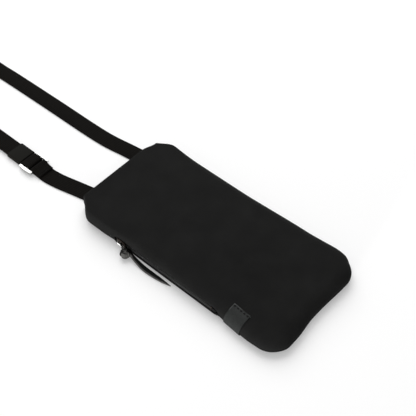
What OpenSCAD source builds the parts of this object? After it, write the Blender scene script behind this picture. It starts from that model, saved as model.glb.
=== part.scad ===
// Flat fabric pouch with a mouth at one end, a zip along its left side, a folded leather
// label and a webbing shoulder strap with a metal strap slider.
// The pouch lies on its back: Z is up, Y runs from the bottom seam to the mouth, and the
// origin is the middle of the flat back face that it rests on.

/* [Pouch] */
// Length from the bottom corners to the mouth
pouch_l = 205; // [190:1:225]
// Width across the straight sides
pouch_w = 99.6; // [94:0.2:108]
// Width across the mouth
mouth_w = 81; // [80:0.5:86]
// Width across the lower corners
low_w = 104; // [102:0.5:112]
// Height over the phone space
thick = 14; // [13.4:0.1:17]
// Height of the soft lower end
low_thick = 10.6; // [9.6:0.1:13]
// Height of the side seam above the back face
seam_h = 5.5; // [5.3:0.1:6.2]
// Length of the sloping shoulders beside the mouth
shoulder_l = 13; // [10:0.5:18]
// Radius where a shoulder runs into the side
shoulder_r = 16; // [8:1:22]
// Radius of the lower corners
corner_r = 16; // [10:1:22]
// How far the bottom edge dips in at its middle
bottom_dip = 2.6; // [0.5:0.1:4]
// Width of the rounded edge of the front at the mouth
mouth_roll = 5; // [4:0.1:5.2]
// Width of the rounded edge of the front at the lower end
low_roll = 16; // [11:0.5:20]
// Width of the rounded edge of the back
back_roll = 5.5; // [4.5:0.1:6]

/* [Fabric] */
// Thickness of the outer fabric
shell_t = 0.7; // [0.5:0.05:0.9]
// Thickness of the foam padding
pad_t = 1; // [1:0.05:1.2]
// Thickness of the lining
lining_t = 0.3; // [0.2:0.05:0.4]
// Thickness of the sheet between the phone space and the zip pocket
divider_t = 0.3; // [0.2:0.05:0.4]
// Room between two layers of cloth
ply_gap = 0.2; // [0.16:0.02:0.24]
// Depth of the facing inside the mouth
facing_l = 18; // [16:0.5:24]

/* [Zip] */
// Distance of the closed zip slider from the mouth
zip_in = 52; // [46:0.5:60]
// Distance of the lower end of the zip from the bottom corners
zip_foot = 58.85; // [56:0.5:75]
// Height of the slot that the zip shows in
zip_slot = 6.4; // [6.2:0.1:6.6]
// Width of the closed row of teeth
chain_w = 3.8; // [3.6:0.1:3.9]
// Thickness of the teeth
teeth_t = 1.2; // [0.9:0.05:1.25]
// Distance from tooth to tooth
teeth_pitch = 1.5; // [1.4:0.05:2]
// Gap between the two tapes
tape_split = 2; // [1.9:0.05:2.1]
// Thickness of a tape
tape_t = 0.45; // [0.3:0.05:0.5]
// Length of the zip slider
slider_l = 8.5; // [7:0.1:9.5]
// Thickness of the plates of the zip slider
slider_t = 0.8; // [0.6:0.05:0.9]

/* [Pull] */
// Diameter of the leather lace through the zip slider
lace_d = 1; // [0.8:0.05:1.1]
// Diameter of the knot
knot_d = 8.4; // [7:0.1:8.6]
// Length of the leather tongue below the knot
tongue_l = 42; // [30:1:50]
// Width of the tongue
tongue_w = 4.6; // [3:0.1:5]
// Thickness of the tongue
tongue_t = 1.4; // [1:0.1:2]

/* [Label] */
// Distance of the upper edge of the label from the bottom corners
label_foot = 50.5; // [44:0.5:51]
// Length of the label along the edge
label_l = 18; // [14:0.5:20]
// Reach of the label over the front
label_reach = 13; // [9:0.5:14.5]
// Thickness of the label
label_t = 0.9; // [0.6:0.05:1.1]
// Number of stitches in the label
label_stitch_count = 5; // [3:1:7]

/* [Strap] */
// Width of the webbing
strap_w = 15; // [13:0.1:15.2]
// Thickness of the webbing
strap_t = 1.2; // [1:0.05:1.2]
// Distance of each strap end from the middle of the mouth
anchor_x = 28.4; // [26:0.2:28.6]
// Length of the free tail beyond the strap slider
tail_l = 69.5; // [60:0.5:70]
// Length of the folded end of the short strap
fold_l = 9.5; // [9:0.5:12]

/* [Strap slider] */
// Diameter of the three bars
bar_d = 2.2; // [2:0.05:2.2]
// Distance from bar to bar
bar_pitch = 5.5; // [5.4:0.05:5.6]
// Width of each side rail
rail_w = 1.8; // [1.4:0.1:2.4]
// How far the rails bulge at their middle
rail_bulge = 0.8; // [0.4:0.1:1.2]

/* [Keeper] */
// Length of the keeper along the strap
keeper_l = 15.5; // [12:0.5:16]
// Thickness of the keeper
keeper_t = 0.8; // [0.7:0.05:0.8]

/* [Coil] */
// Radius of the innermost turn of the wound strap
coil_r = 16; // [15:0.5:18]
// Distance between turns, which hold two strands each
coil_pitch = 11.2; // [10.8:0.1:11.6]
// Length of the tie round the wound strap
tie_w = 8; // [6:0.5:9]
// Thickness of the tie
tie_t = 0.8; // [0.6:0.05:0.8]

/* [Hidden] */
cloth = [0.09, 0.09, 0.088];
inner_cloth = [0.13, 0.13, 0.13];
foam = [0.3, 0.3, 0.3];
webbing = [0.08, 0.075, 0.07];
leather = [0.2, 0.205, 0.205];
pull_leather = [0.1, 0.1, 0.095];
thread = [0.05, 0.05, 0.05];
metal = [0.8, 0.8, 0.79];
zip_black = [0.07, 0.07, 0.07];
band_tint = [0.14, 0.14, 0.12];

// Small clearances, and one overrun for every cut
seam_gap = 0.1;
run_fit = 0.3;
rest_fit = 0.05;
touch_fit = 0.1;
overrun = 1;

// Main places
half_w = pouch_w / 2;
half_l = pouch_l / 2;
low_half_w = low_w / 2;
wall = shell_t + pad_t + lining_t + 2 * ply_gap;
pad_o = shell_t + ply_gap;
lining_o = pad_o + pad_t + ply_gap;
facing_y = half_l - facing_l;

// The zip lies in the plane of the left side, and its parts are set in from it
slider_y = half_l - zip_in;
slider_end = slider_y + slider_l / 2;
stop_l = 1.5;
chain_top = slider_end + run_fit;
tape_spare = 1.8;
tape_top = chain_top + stop_l + tape_spare;
zip_top = tape_top + run_fit;
zip_low = zip_foot - half_l;
tape_low = zip_low + run_fit;
chain_low = tape_low + tape_spare + stop_l;
zip_ramp = 6;
slot_half = zip_slot / 2;
tape_in = 1.35;
tape_w = 2.9;
teeth_out = tape_in - teeth_t;
slider_in = teeth_out - run_fit;
post_w = tape_split - 2 * run_fit;
post_l = 1.6;
post_y = slider_end - post_l;
flange_t = 0.65;
slider_half = chain_w / 2 + run_fit + flange_t;
cut_angle_front = 20;
cut_angle_back = 44;

// Where the front grows thinner and rounder towards the bottom, as shares of half the length
thin_shares = [-0.8, 0];
roll_shares = [-0.62, 0.66];
dip_fade_share = 1.8;

// The outline of the right half, from the mouth down to the middle of the bottom
flare_y = zip_low - zip_ramp;
corner_y = corner_r - half_l;
corner_x = low_half_w - corner_r;
side_shares = [0.82, 0.64, 0.46, 0.28, 0.12];
flare_shares = [0.3, 0.55, 0.8];
corner_steps = 5;
dip_shares = [0.66, 0.33, 0];

function smooth(v) = let (s = min(1, max(0, v))) s * s * (3 - 2 * s);
function unit(v) = v / norm(v);
function fillet(a, b, c, r, steps) =
    let (u = unit(a - b), v = unit(c - b), ang = acos(u * v),
         centre = b + unit(u + v) * r / sin(ang / 2),
         start = b + u * r / tan(ang / 2) - centre,
         first = atan2(start.y, start.x), sweep = (180 - ang) * sign(cross(v, u)))
    [for (i = [0:steps]) let (t = first + sweep * i / steps) centre + r * [cos(t), sin(t)]];
function side_x(y) = half_w + (low_half_w - half_w) * smooth((flare_y - y) / (flare_y - corner_y));
function bottom_rise(x) = bottom_dip * (1 + cos(180 * min(1, abs(x) / corner_x))) / 2;
mouth_corner = [mouth_w / 2, half_l];
shoulder_corner = [half_w, half_l - shoulder_l];
right_outline = concat(
    [mouth_corner],
    fillet(mouth_corner, shoulder_corner, [half_w, 0], shoulder_r, 3),
    [for (y = [zip_top + zip_ramp, zip_top]) [half_w, y]],
    [for (s = side_shares) [half_w, zip_low + (zip_top - zip_low) * s]],
    [for (y = [zip_low, flare_y]) [half_w, y]],
    [for (s = flare_shares) let (y = flare_y + (corner_y - flare_y) * s) [side_x(y), y]],
    [for (i = [0:corner_steps]) let (t = 90 * i / corner_steps)
        [corner_x + corner_r * cos(t), corner_y - corner_r * sin(t)]],
    [for (s = dip_shares) [corner_x * s, -half_l]]);
function below(y) = concat([[half_w, y]], [for (p = right_outline) if (p.y < y - touch_fit) p]);
function above(y) = concat([for (p = right_outline) if (p.y > y + touch_fit) p], [[half_w, y]]);

// One point of a layer: p on the outline, o in from the outer face, turn from 0 at the side
// seam to 90 where the rounded edge meets the flat
function slot_open(p) = p.x >= 0 ? 0 :
    smooth((p.y - flare_y) / zip_ramp) * smooth((zip_top + zip_ramp - p.y) / zip_ramp);
function roll_at(y) = low_roll + (mouth_roll - low_roll)
    * smooth((y / half_l - roll_shares[0]) / (roll_shares[1] - roll_shares[0]));
function top_at(y) = low_thick + (thick - low_thick)
    * smooth((y / half_l - thin_shares[0]) / (thin_shares[1] - thin_shares[0]));
function layer_point(p, o, turn, front) =
    let (roll = front ? roll_at(p.y) : back_roll,
         inset = o + (roll - o) * (1 - cos(turn)),
         rise = p.y > corner_y - corner_r / 2 ? 0 : bottom_rise(p.x) * (1 - dip_fade_share * turn / 90),
         y = p.y < 0 ? (p.y + rise) * (1 - inset / half_l) : p.y,
         open = slot_half * slot_open(p))
    front
    ? let (z = seam_h + seam_gap / 2 + open)
        [p.x * (1 - inset / half_w), y, z + (top_at(y) - o - z) * sin(turn)]
    : let (z = seam_h - seam_gap / 2 - open)
        [p.x * (1 - inset / half_w), y, z - (z - o) * sin(turn)];

// A layer of cloth as one closed shell, from the outer face at o1 to the inner face at o2
turns = 5;
row = 2 * turns;
module layer(outline, o1, o2, front, cut_angle = 0) {
    last = len(outline) - 1;
    closed = outline[last].x == 0;
    function id(s, i, j) = (s * (last + 1) + i) * row
        + (closed && i == last && j >= turns ? row - 1 - j : j);
    points = [for (o = [o1, o2]) for (p = outline) for (j = [0:row - 1])
        let (q = j < turns ? p : [-p.x, p.y], s = (j < turns ? j : row - 1 - j) / (turns - 1),
             start = cut_angle * slot_open(q))
        layer_point(q, o, start + (90 - start) * s, front)];
    quads = concat(
        [for (i = [0:last - 1]) for (j = [0:row - 2])
            [id(0, i, j), id(0, i, j + 1), id(0, i + 1, j + 1), id(0, i + 1, j)]],
        [for (i = [0:last - 1]) for (j = [0:row - 2])
            [id(1, i, j), id(1, i + 1, j), id(1, i + 1, j + 1), id(1, i, j + 1)]],
        [for (i = [0:last - 1]) [id(0, i, 0), id(0, i + 1, 0), id(1, i + 1, 0), id(1, i, 0)]],
        [for (i = [0:last - 1])
            [id(0, i, row - 1), id(1, i, row - 1), id(1, i + 1, row - 1), id(0, i + 1, row - 1)]],
        [for (j = [0:row - 2]) [id(0, 0, j), id(1, 0, j), id(1, 0, j + 1), id(0, 0, j + 1)]],
        closed ? [] : [for (j = [0:row - 2])
            [id(0, last, j), id(0, last, j + 1), id(1, last, j + 1), id(1, last, j)]]);
    polyhedron(points, triangles(quads, !front));
}
function triangles(quads, keep) = [for (q = quads) for (t = [[q[0], q[1], q[2]], [q[0], q[2], q[3]]])
    if (t[0] != t[1] && t[1] != t[2] && t[2] != t[0]) keep ? t : [t[2], t[1], t[0]]];

module front_shell() { color(cloth) layer(right_outline, 0, shell_t, true); }
module front_padding() {
    color(foam) layer(below(facing_y), pad_o, pad_o + pad_t, true, cut_angle_front);
}
module front_lining() {
    color(inner_cloth) layer(below(facing_y - ply_gap), lining_o, wall, true, cut_angle_front);
}
module front_facing() { color(cloth) layer(above(facing_y), lining_o, wall, true); }
module back_shell() { color(cloth) layer(right_outline, 0, shell_t, false); }
module back_padding() {
    color(foam) layer(below(facing_y), pad_o, pad_o + pad_t, false, cut_angle_back);
}
module back_lining() {
    color(inner_cloth) layer(below(facing_y - ply_gap), lining_o, wall, false);
}
module back_facing() { color(cloth) layer(above(facing_y), lining_o, wall, false); }

// The sheet between the pockets: flat on the back lining, turned up behind the zip
sheet_in = 6;
fold_in = 4.2;
fold_h = 3.5;
sheet_z = wall + touch_fit;
module pocket_divider() {
    side = [for (p = right_outline) if (p.y < facing_y)
        [p.x * (1 - sheet_in / half_w), p.y < 0 ? p.y * (1 - sheet_in / half_l) : p.y]];
    far = [for (i = [len(side) - 1:-1:0]) [-side[i].x, side[i].y]];
    color(inner_cloth) {
        translate([0, 0, sheet_z]) linear_extrude(divider_t) polygon(concat(side, far));
        translate([fold_in - half_w, zip_low + overrun, sheet_z])
            cube([sheet_in - fold_in + overrun, zip_top - zip_low - 2 * overrun, divider_t]);
        translate([fold_in - half_w, zip_low + overrun, sheet_z])
            cube([divider_t, zip_top - zip_low - 2 * overrun, seam_h + fold_h - sheet_z]);
    }
}

// The zip: flat pieces that stand in the side, drawn along Y and Z and given a depth along X
module side_plate(from, to) {
    translate([from - half_w, 0, 0]) rotate([90, 0, 90]) linear_extrude(to - from) children();
}
module strip(y1, y2, z1, z2) { translate([y1, z1]) square([y2 - y1, z2 - z1]); }
module zip_tape(way) {
    near = seam_h + way * tape_split / 2;
    far = near + way * tape_w;
    color(zip_black) side_plate(tape_in, tape_in + tape_t)
        strip(tape_low, tape_top, min(near, far), max(near, far));
}
module zip_tape_front() { zip_tape(1); }
module zip_tape_back() { zip_tape(-1); }

tooth_share = 0.42;
tooth_reach_share = 0.32;
comb_share = 0.5;
module zip_teeth(way) {
    top = post_y - run_fit;
    count = floor((top - chain_low) / teeth_pitch - 0.5);
    shift = way > 0 ? 0 : teeth_pitch / 2;
    edge = seam_h + way * chain_w / 2;
    root = seam_h + way * chain_w / 2 * comb_share;
    tip = seam_h - way * chain_w / 2 * tooth_reach_share;
    color(zip_black) side_plate(teeth_out, tape_in) polygon(concat(
        [[chain_low, edge], [chain_low, root]],
        [for (i = [0:count - 1])
            let (y = chain_low + shift + (i + 0.25) * teeth_pitch, w = teeth_pitch * tooth_share)
            for (p = [[y - w / 2, root], [y - w / 2, tip], [y + w / 2, tip], [y + w / 2, root]]) p],
        [[top, root], [top, edge]]));
}
module zip_teeth_front() { zip_teeth(1); }
module zip_teeth_back() { zip_teeth(-1); }
module zip_top_stops() {
    color(metal) for (way = [-1, 1]) side_plate(teeth_out, tape_in)
        strip(chain_top, chain_top + stop_l, seam_h + (way > 0 ? tape_split / 2 : -chain_w / 2),
            seam_h + (way > 0 ? chain_w / 2 : -tape_split / 2));
}
module zip_bottom_stop() {
    color(metal) side_plate(teeth_out, tape_in)
        strip(chain_low - stop_l, chain_low, seam_h - chain_w / 2, seam_h + chain_w / 2);
}

// The zip slider: two plates joined by a post, with flanges that guide the teeth
slider_corner = 1.2;
plate_steps = 3;
module slider_face() {
    l = slider_l / 2;
    w = slider_half;
    ends = [[-l, -w], [l, -w], [l, w], [-l, w]];
    translate([slider_y, seam_h]) polygon([for (i = [0:3])
        for (p = fillet(ends[(i + 3) % 4], ends[i], ends[(i + 1) % 4], slider_corner, plate_steps)) p]);
}
module zip_slider() {
    inner_in = tape_in + tape_t + run_fit;
    color(metal) {
        side_plate(slider_in - slider_t, slider_in) slider_face();
        side_plate(inner_in, inner_in + slider_t) slider_face();
        side_plate(slider_in, inner_in)
            strip(post_y, slider_end - touch_fit, seam_h - post_w / 2, seam_h + post_w / 2);
        for (z = [seam_h - slider_half, seam_h + slider_half - flange_t])
            side_plate(slider_in, tape_in - run_fit)
                strip(slider_y - slider_l / 2 + slider_corner + run_fit,
                    slider_end - slider_corner - run_fit, z, z + flange_t);
    }
}

// The bridge on the slider, and the lace that turns in it
bail_l = 6.4;
bail_t = 0.7;
bail_w = 1.2;
lace_fit = 0.15;
lace_room = lace_d + 2 * lace_fit;
bail_foot = half_w - slider_in + slider_t;
lace_x = -bail_foot - lace_room / 2;
lace_side = bail_w / 2 + run_fit + lace_d / 2;
module zip_slider_bail() {
    h = lace_room + bail_t;
    l = bail_l / 2;
    color(metal) translate([-bail_foot, slider_y, seam_h - bail_w / 2]) linear_extrude(bail_w) difference() {
        polygon(concat([[0, -l]], [[0, l]],
            fillet([0, l], [-h, l], [-h, -l], bail_w, plate_steps),
            fillet([-h, l], [-h, -l], [0, -l], bail_w, plate_steps)));
        translate([-lace_room, bail_t - l]) square([lace_room + overrun, bail_l - 2 * bail_t]);
    }
}
pull_turn = 21.4;
knot_far = 9.05;
knot_share = 0.4;
leg_share = 0.86;
dent_share = 0.1;
knot_rows = 8;
knot_columns = 16;
tongue_shares = [[0.01, -0.02, 0.62], [-0.015, -0.25, 0.86], [0, -0.55, 1],
    [0.025, -0.86, 0.7], [0.043, -1.06, 0.1]];
knot_at = [lace_x - knot_far * sin(pull_turn), slider_y - knot_far * cos(pull_turn)];
module knot() {
    function id(i, j) = (i - 1) * knot_columns + (j + knot_columns) % knot_columns;
    inner = knot_rows - 1;
    places = [for (i = [1:inner]) for (j = [0:knot_columns - 1])
        let (up = 180 * i / knot_rows - 90, a = 360 * j / knot_columns,
             r = knot_d / 2 * (1 - dent_share * (1 + cos(3 * a + 2 * up)) / 2))
        [r * cos(up) * cos(a), r * cos(up) * sin(a), r * sin(up)]];
    points = concat(places, [[0, 0, -knot_d / 2], [0, 0, knot_d / 2]]);
    polyhedron(points, concat(
        triangles([for (i = [1:inner - 1]) for (j = [0:knot_columns - 1])
            [id(i, j), id(i + 1, j), id(i + 1, j + 1), id(i, j + 1)]], true),
        [for (j = [0:knot_columns - 1]) [len(places), id(1, j), id(1, j + 1)]],
        [for (j = [0:knot_columns - 1]) [len(places) + 1, id(inner, j + 1), id(inner, j)]]));
}
module leather_pull() {
    color(pull_leather) {
        translate([lace_x, slider_y, seam_h]) rotate([0, 0, -pull_turn]) {
            translate([0, 0, -lace_side - lace_d / 2])
                cylinder(d = lace_d, h = 2 * lace_side + lace_d, $fn = 16);
            for (z = [-lace_side, lace_side]) translate([0, 0, z]) rotate([90, 0, 0])
                cylinder(d = lace_d * leg_share, h = knot_far - knot_d * knot_share / 2, $fn = 12);
        }
        translate([knot_at.x, knot_at.y, knot_d / 2 + rest_fit]) knot();
        mid = spline([for (s = tongue_shares)
            [knot_at.x + tongue_l * s.x, knot_at.y + tongue_l * s.y, tongue_w * s.z / 2]], 4);
        last = len(mid) - 1;
        side = [for (i = [0:last])
            let (a = mid[max(i - 1, 0)], b = mid[min(i + 1, last)], t = unit([b.x - a.x, b.y - a.y]))
            [t.y, -t.x]];
        translate([0, 0, rest_fit]) linear_extrude(tongue_t) polygon(concat(
            [for (i = [0:last]) [mid[i].x, mid[i].y] + side[i] * mid[i].z],
            [for (i = [last:-1:0]) [mid[i].x, mid[i].y] - side[i] * mid[i].z]));
    }
}
function spline(p, steps) = concat([for (i = [0:len(p) - 2]) for (k = [0:steps - 1])
    let (a = p[max(i - 1, 0)], b = p[i], c = p[i + 1], d = p[min(i + 2, len(p) - 1)], s = k / steps)
    b + s * ((c - a) / 2 + s * (a - 2.5 * b + 2 * c - d / 2 + s * (1.5 * (b - c) + (d - a) / 2)))],
    [p[len(p) - 1]]);

// The label is folded over the edge: its points lie at a depth in from the edge, front or back
label_y = label_foot - half_l;
label_lift = 0.35;
label_back_turns = [52, 26];
label_depth_shares = [0, 0.02, 0.09, 0.21, 0.36, 0.55, 0.76, 1];
function side_point(y, o, depth, front) =
    let (q = y / (1 - depth / half_l), roll = front ? roll_at(q) : back_roll,
         s = sin(acos(max(0, 1 - (depth - o) / (roll - o)))))
    [-side_x(q) * (1 - depth / half_w), y,
     front ? seam_h + (top_at(q) - o - seam_h) * s : seam_h - (seam_h - o) * s];
module leather_label() {
    rows = [for (i = [0:4]) label_y - label_l * i / 4];
    n = len(label_back_turns) + len(label_depth_shares);
    function run(y, o) = concat(
        [for (t = label_back_turns) side_point(y, o, o + (back_roll - o) * (1 - cos(t)), false)],
        [for (s = label_depth_shares) side_point(y, o, o + (label_reach - o) * s, true)]);
    function id(s, i, j) = s * 5 * n + i * n + j;
    points = [for (o = [-label_lift - label_t, -label_lift]) for (y = rows) each run(y, o)];
    quads = concat(
        [for (i = [0:3]) for (j = [0:n - 2])
            [id(0, i, j), id(0, i, j + 1), id(0, i + 1, j + 1), id(0, i + 1, j)]],
        [for (i = [0:3]) for (j = [0:n - 2])
            [id(1, i, j), id(1, i + 1, j), id(1, i + 1, j + 1), id(1, i, j + 1)]],
        [for (i = [0:3]) [id(0, i, 0), id(0, i + 1, 0), id(1, i + 1, 0), id(1, i, 0)]],
        [for (i = [0:3]) [id(0, i, n - 1), id(1, i, n - 1), id(1, i + 1, n - 1), id(0, i + 1, n - 1)]],
        [for (j = [0:n - 2]) [id(0, 0, j), id(1, 0, j), id(1, 0, j + 1), id(0, 0, j + 1)]],
        [for (j = [0:n - 2]) [id(0, 4, j), id(0, 4, j + 1), id(1, 4, j + 1), id(1, 4, j)]]);
    color(leather) polyhedron(points, triangles(quads, true));
}
thread_d = 0.5;
stitch_l = 1.8;
stitch_in = 1.6;
module stitch(l) { rotate([90, 0, 0]) cylinder(d = thread_d, h = l, center = true, $fn = 12); }
module label_stitches() {
    step = label_l / label_stitch_count;
    color(thread) for (i = [0:label_stitch_count - 1])
        translate(side_point(label_y - (i + 0.5) * step,
            -label_lift - label_t - touch_fit - thread_d / 2, label_reach - stitch_in, true))
            stitch(stitch_l);
}

// The strap: a flat band that is led along a route of places and directions across
strap_edge_share = 0.21;
strap_bevel_share = 0.055;
module band(places, across) {
    n = len(places);
    w = strap_w / 2;
    h = strap_t / 2;
    b = strap_w * strap_bevel_share / 2;
    e = strap_t * strap_edge_share;
    section = [[w, -e], [w, e], [w - b, h], [b - w, h], [-w, e], [-w, -e], [b - w, -h], [w - b, -h]];
    points = [for (i = [0:n - 1])
        let (t = unit(places[min(i + 1, n - 1)] - places[max(i - 1, 0)]),
             u = unit(across[i] - (across[i] * t) * t), v = cross(t, u))
        for (s = section) places[i] + s.x * u + s.y * v];
    polyhedron(points, concat([[for (j = [0:7]) j]], [[for (j = [7:-1:0]) (n - 1) * 8 + j]],
        triangles([for (i = [0:n - 2]) for (j = [0:7])
            [i * 8 + j, (i + 1) * 8 + j, (i + 1) * 8 + (j + 1) % 8, i * 8 + (j + 1) % 8]], true)));
}
// A route over the floor: x, y, turn from flat to standing on edge, lift off the floor
function floor_z(r) = rest_fit + strap_w / 2 * sin(r[2]) + strap_t / 2 * cos(r[2]) + r[3];
function floor_route(p) = [for (r = spline(p, 3)) [r.x, r.y, min(90, max(0, r[2])), max(0, r[3])]];
function floor_places(route) = [for (r = route) [r.x, r.y, floor_z(r)]];
function floor_across(route) = [for (i = [0:len(route) - 1])
    let (a = route[max(i - 1, 0)], b = route[min(i + 1, len(route) - 1)], t = unit([b.x - a.x, b.y - a.y]))
    [t.y * cos(route[i][2]), -t.x * cos(route[i][2]), sin(route[i][2])]];

// The wound part: two strands side by side, from a loop in the middle outwards
coil_turns = 2;
coil_steps = 24;
coil_side = 40;
coil_far = 247.5;
coil_at = [-coil_side, half_l + coil_far];
strand_gap = coil_pitch / 2;
loop_steps = 5;
coil_lift = tie_t + touch_fit;
strand_out = coil_r + coil_pitch * coil_turns;
function spiral(r, i) = let (a = -360 * i / coil_steps, q = r + coil_pitch * i / coil_steps)
    coil_at + q * [cos(a), sin(a)];
coil_route = concat(
    [coil_at + [strand_out, -strap_w]],
    [for (i = [coil_turns * coil_steps:-1:0]) spiral(coil_r, i)],
    [for (k = [1:loop_steps - 1]) let (a = 180 * (1 - k / loop_steps))
        coil_at + [coil_r + strand_gap / 2, 0] + strand_gap / 2 * [cos(a), sin(a)]],
    [for (i = [0:coil_turns * coil_steps]) spiral(coil_r + strand_gap, i)],
    [coil_at + [strand_out + strand_gap, -strap_w]]);
coil_gap = min([for (i = [0:len(coil_route) - 1]) for (j = [i + loop_steps + 2:len(coil_route) - 1])
    norm(coil_route[i] - coil_route[j])]) - strap_t;
echo(coil_gap = coil_gap);
module strap_coil() {
    color(webbing) band([for (p = coil_route) [p.x, p.y, rest_fit + coil_lift + strap_w / 2]],
        [for (p = coil_route) [0, 0, 1]]);
}

// The tie closes round all the strands on the far side of the wound part
module strap_tie() {
    near = coil_r + coil_pitch / 2;
    bow = tie_w * tie_w / near / 8 + coil_pitch * tie_w / near / 4 / PI;
    first = near - bow - strap_t / 2 - 2 * run_fit;
    last = coil_r + coil_pitch * (coil_turns - 0.5) + strand_gap + strap_t / 2 + run_fit;
    color(band_tint) translate([coil_at.x - last - tie_t, coil_at.y + tie_w / 2, rest_fit]) rotate([90, 0, 0])
        linear_extrude(tie_w) ring(last - first + 2 * tie_t, strap_w + 2 * touch_fit + 2 * tie_t, tie_t);
}
module ring(w, h, t) {
    ends = [[0, 0], [w, 0], [w, h], [0, h]];
    difference() {
        polygon([for (i = [0:3])
            for (p = fillet(ends[(i + 3) % 4], ends[i], ends[(i + 1) % 4], t, plate_steps)) p]);
        translate([t, t]) square([w - 2 * t, h - 2 * t]);
    }
}

// The right run, from the mouth to the wound part; shares of the anchor distance and of coil_far
anchor_lift = shell_t + touch_fit - rest_fit;
right_shares = [[0.985, 0.03], [0.94, 0.07], [0.815, 0.19], [0.79, 0.45], [0.745, 0.71],
    [0.62, 0.79], [0.42, 0.86]];
right_turns = [0, 0, 0, 0, 0, 25, 66];
run_end_share = 0.97;
right_route = floor_route(concat(
    [[anchor_x, facing_y + run_fit, 0, anchor_lift], [anchor_x, half_l + rest_fit, 0, anchor_lift]],
    [for (i = [0:6]) [anchor_x * right_shares[i].x, half_l + coil_far * right_shares[i].y, right_turns[i], 0]],
    [[coil_at.x + strand_out + strand_gap, coil_at.y - strap_w * (2 - run_end_share), 90, coil_lift],
     [coil_at.x + strand_out + strand_gap, coil_at.y - strap_w, 90, coil_lift]]));
module strap_run_right() {
    color(webbing) band(floor_places(right_route), floor_across(right_route));
}

// The strap slider, its bars and the places of the strap round them
slider_far = 64.3;
weave_x = -37.2;
bar_z = 2.85;
rail_room = 0.9;
rail_t = 2.4;
rail_share = 0.75;
strap_slider_y = half_l + slider_far;
wrap_r = bar_d / 2 + touch_fit + strap_t / 2;
wrap_low = bar_z - wrap_r;
rail_in = strap_w / 2 + rail_room;
rail_peak = rail_in + rail_w + rail_bulge;
function bar_y(i) = strap_slider_y + i * bar_pitch;
function wrap_point(i, a) = [weave_x, bar_y(i) + wrap_r * cos(a), bar_z + wrap_r * sin(a)];
module strap_slider() {
    l = bar_pitch + bar_d * rail_share;
    rail = concat(
        [[rail_in, -l], [rail_in, l]],
        fillet([rail_in, l], [rail_in + rail_w, l], [rail_peak, 0], rail_w / 2, plate_steps),
        [[rail_peak, 0]],
        fillet([rail_peak, 0], [rail_in + rail_w, -l], [rail_in, -l], rail_w / 2, plate_steps));
    color(metal) translate([weave_x, strap_slider_y, bar_z]) {
        for (i = [-1:1]) translate([-rail_in, i * bar_pitch, 0]) rotate([0, 90, 0])
            cylinder(d = bar_d, h = 2 * rail_in, $fn = 32);
        for (m = [0, 180]) rotate([0, 0, m]) translate([0, 0, -rail_t / 2])
            linear_extrude(rail_t) polygon(rail);
    }
}

// The keeper closes round the strap and its free tail
keeper_low = rest_fit + keeper_t;
keeper_start = bar_y(1) + bar_d / 2 + bar_d;
keeper_room = 2 * strap_t + 4 * touch_fit;
keeper_way = 35;
low_z = keeper_low + touch_fit + strap_t / 2;
tail_z = low_z + strap_t + touch_fit;
module strap_keeper() {
    w = strap_w + 2 * run_fit + 2 * keeper_t;
    color(band_tint) translate([weave_x - w / 2, keeper_start + keeper_l, rest_fit]) rotate([90, 0, 0])
        linear_extrude(keeper_l) ring(w, 2 * keeper_t + keeper_room, keeper_t);
}

// The left run: from the wound part over the floor, through the keeper, under two bars of the
// strap slider, round the middle bar and back over the far bar as the free tail
left_shares = [[0.094, 0.86], [0.276, 0.79], [0.515, 0.72], [0.75, 0.65], [0.881, 0.6], [0.96, 0.56]];
left_turns = [78, 50, 22, 6, 0, 0];
left_start = coil_at.x + strand_out;
keeper_end = keeper_start + keeper_l + keeper_way;
left_route = floor_route(concat(
    [[left_start, coil_at.y - strap_w, 90, coil_lift],
     [left_start, coil_at.y - strap_w * (2 - run_end_share), 90, coil_lift]],
    [for (i = [0:5]) [left_start + (weave_x - left_start) * left_shares[i].x,
        half_l + coil_far * left_shares[i].y, left_turns[i], 0]]));
lean = 32;
wrap_turns = [-90, -120, -150, -180, -210, -240, -270];
weave = concat(
    [[weave_x, keeper_end + keeper_t, low_z], [weave_x, keeper_start + run_fit, low_z],
     [weave_x, bar_y(1) + bar_d / 2 + touch_fit, wrap_low], [weave_x, bar_y(0) + touch_fit, wrap_low]],
    [for (a = wrap_turns) wrap_point(0, a)],
    [wrap_point(1, 90), wrap_point(1, 90 - lean / 2), wrap_point(1, 90 - lean)],
    [[weave_x, keeper_start - touch_fit, tail_z], [weave_x, keeper_start + run_fit, tail_z],
     [weave_x, keeper_end + keeper_t, tail_z],
     [weave_x, bar_y(1) + tail_l, rest_fit + strap_t * 1.5 + touch_fit]]);
module strap_run_left() {
    places = concat(floor_places(left_route), weave);
    color(webbing) band(places, concat(floor_across(left_route), [for (p = weave) [-1, 0, 0]]));
}

// The short strap, from the mouth to the near bar and folded back on itself
short_shares = [[0.96, 0.985, 0.07], [0.62, 0.65, 0.28], [0.2, 0.2, 0.52], [0, 0, 0.7], [0, 0, 0.78]];
short_route = floor_route(concat(
    [[-anchor_x, facing_y + run_fit, 0, anchor_lift], [-anchor_x, half_l + rest_fit, 0, anchor_lift]],
    [for (s = short_shares) [weave_x - (weave_x + anchor_x) * s.x, half_l + slider_far * s.z, 0, 0]]));
near_y = bar_y(-1);
fold_rise = strap_t + touch_fit;
fold_turns = [-90, -60, -30, 0, 30, 60, 90, 115];
fold_end = near_y - fold_l;
fold_share = 0.6;
tack_shares = [-0.33, -0.11, 0.11, 0.33];
module short_strap() {
    flat_z = rest_fit + strap_t / 2;
    weave = concat(
        [[weave_x, near_y - fold_l * fold_share, flat_z + strap_t / 8],
         [weave_x, near_y - wrap_r, wrap_low - touch_fit / 2]],
        [for (a = fold_turns) wrap_point(-1, a)],
        [[weave_x, near_y - fold_l * fold_share, flat_z + strap_t / 3 + fold_rise],
         [weave_x, fold_end, flat_z + touch_fit + fold_rise]]);
    color(webbing) band(concat(floor_places(short_route), weave),
        concat(floor_across(short_route), [for (p = weave) [1, 0, 0]]));
}
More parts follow.
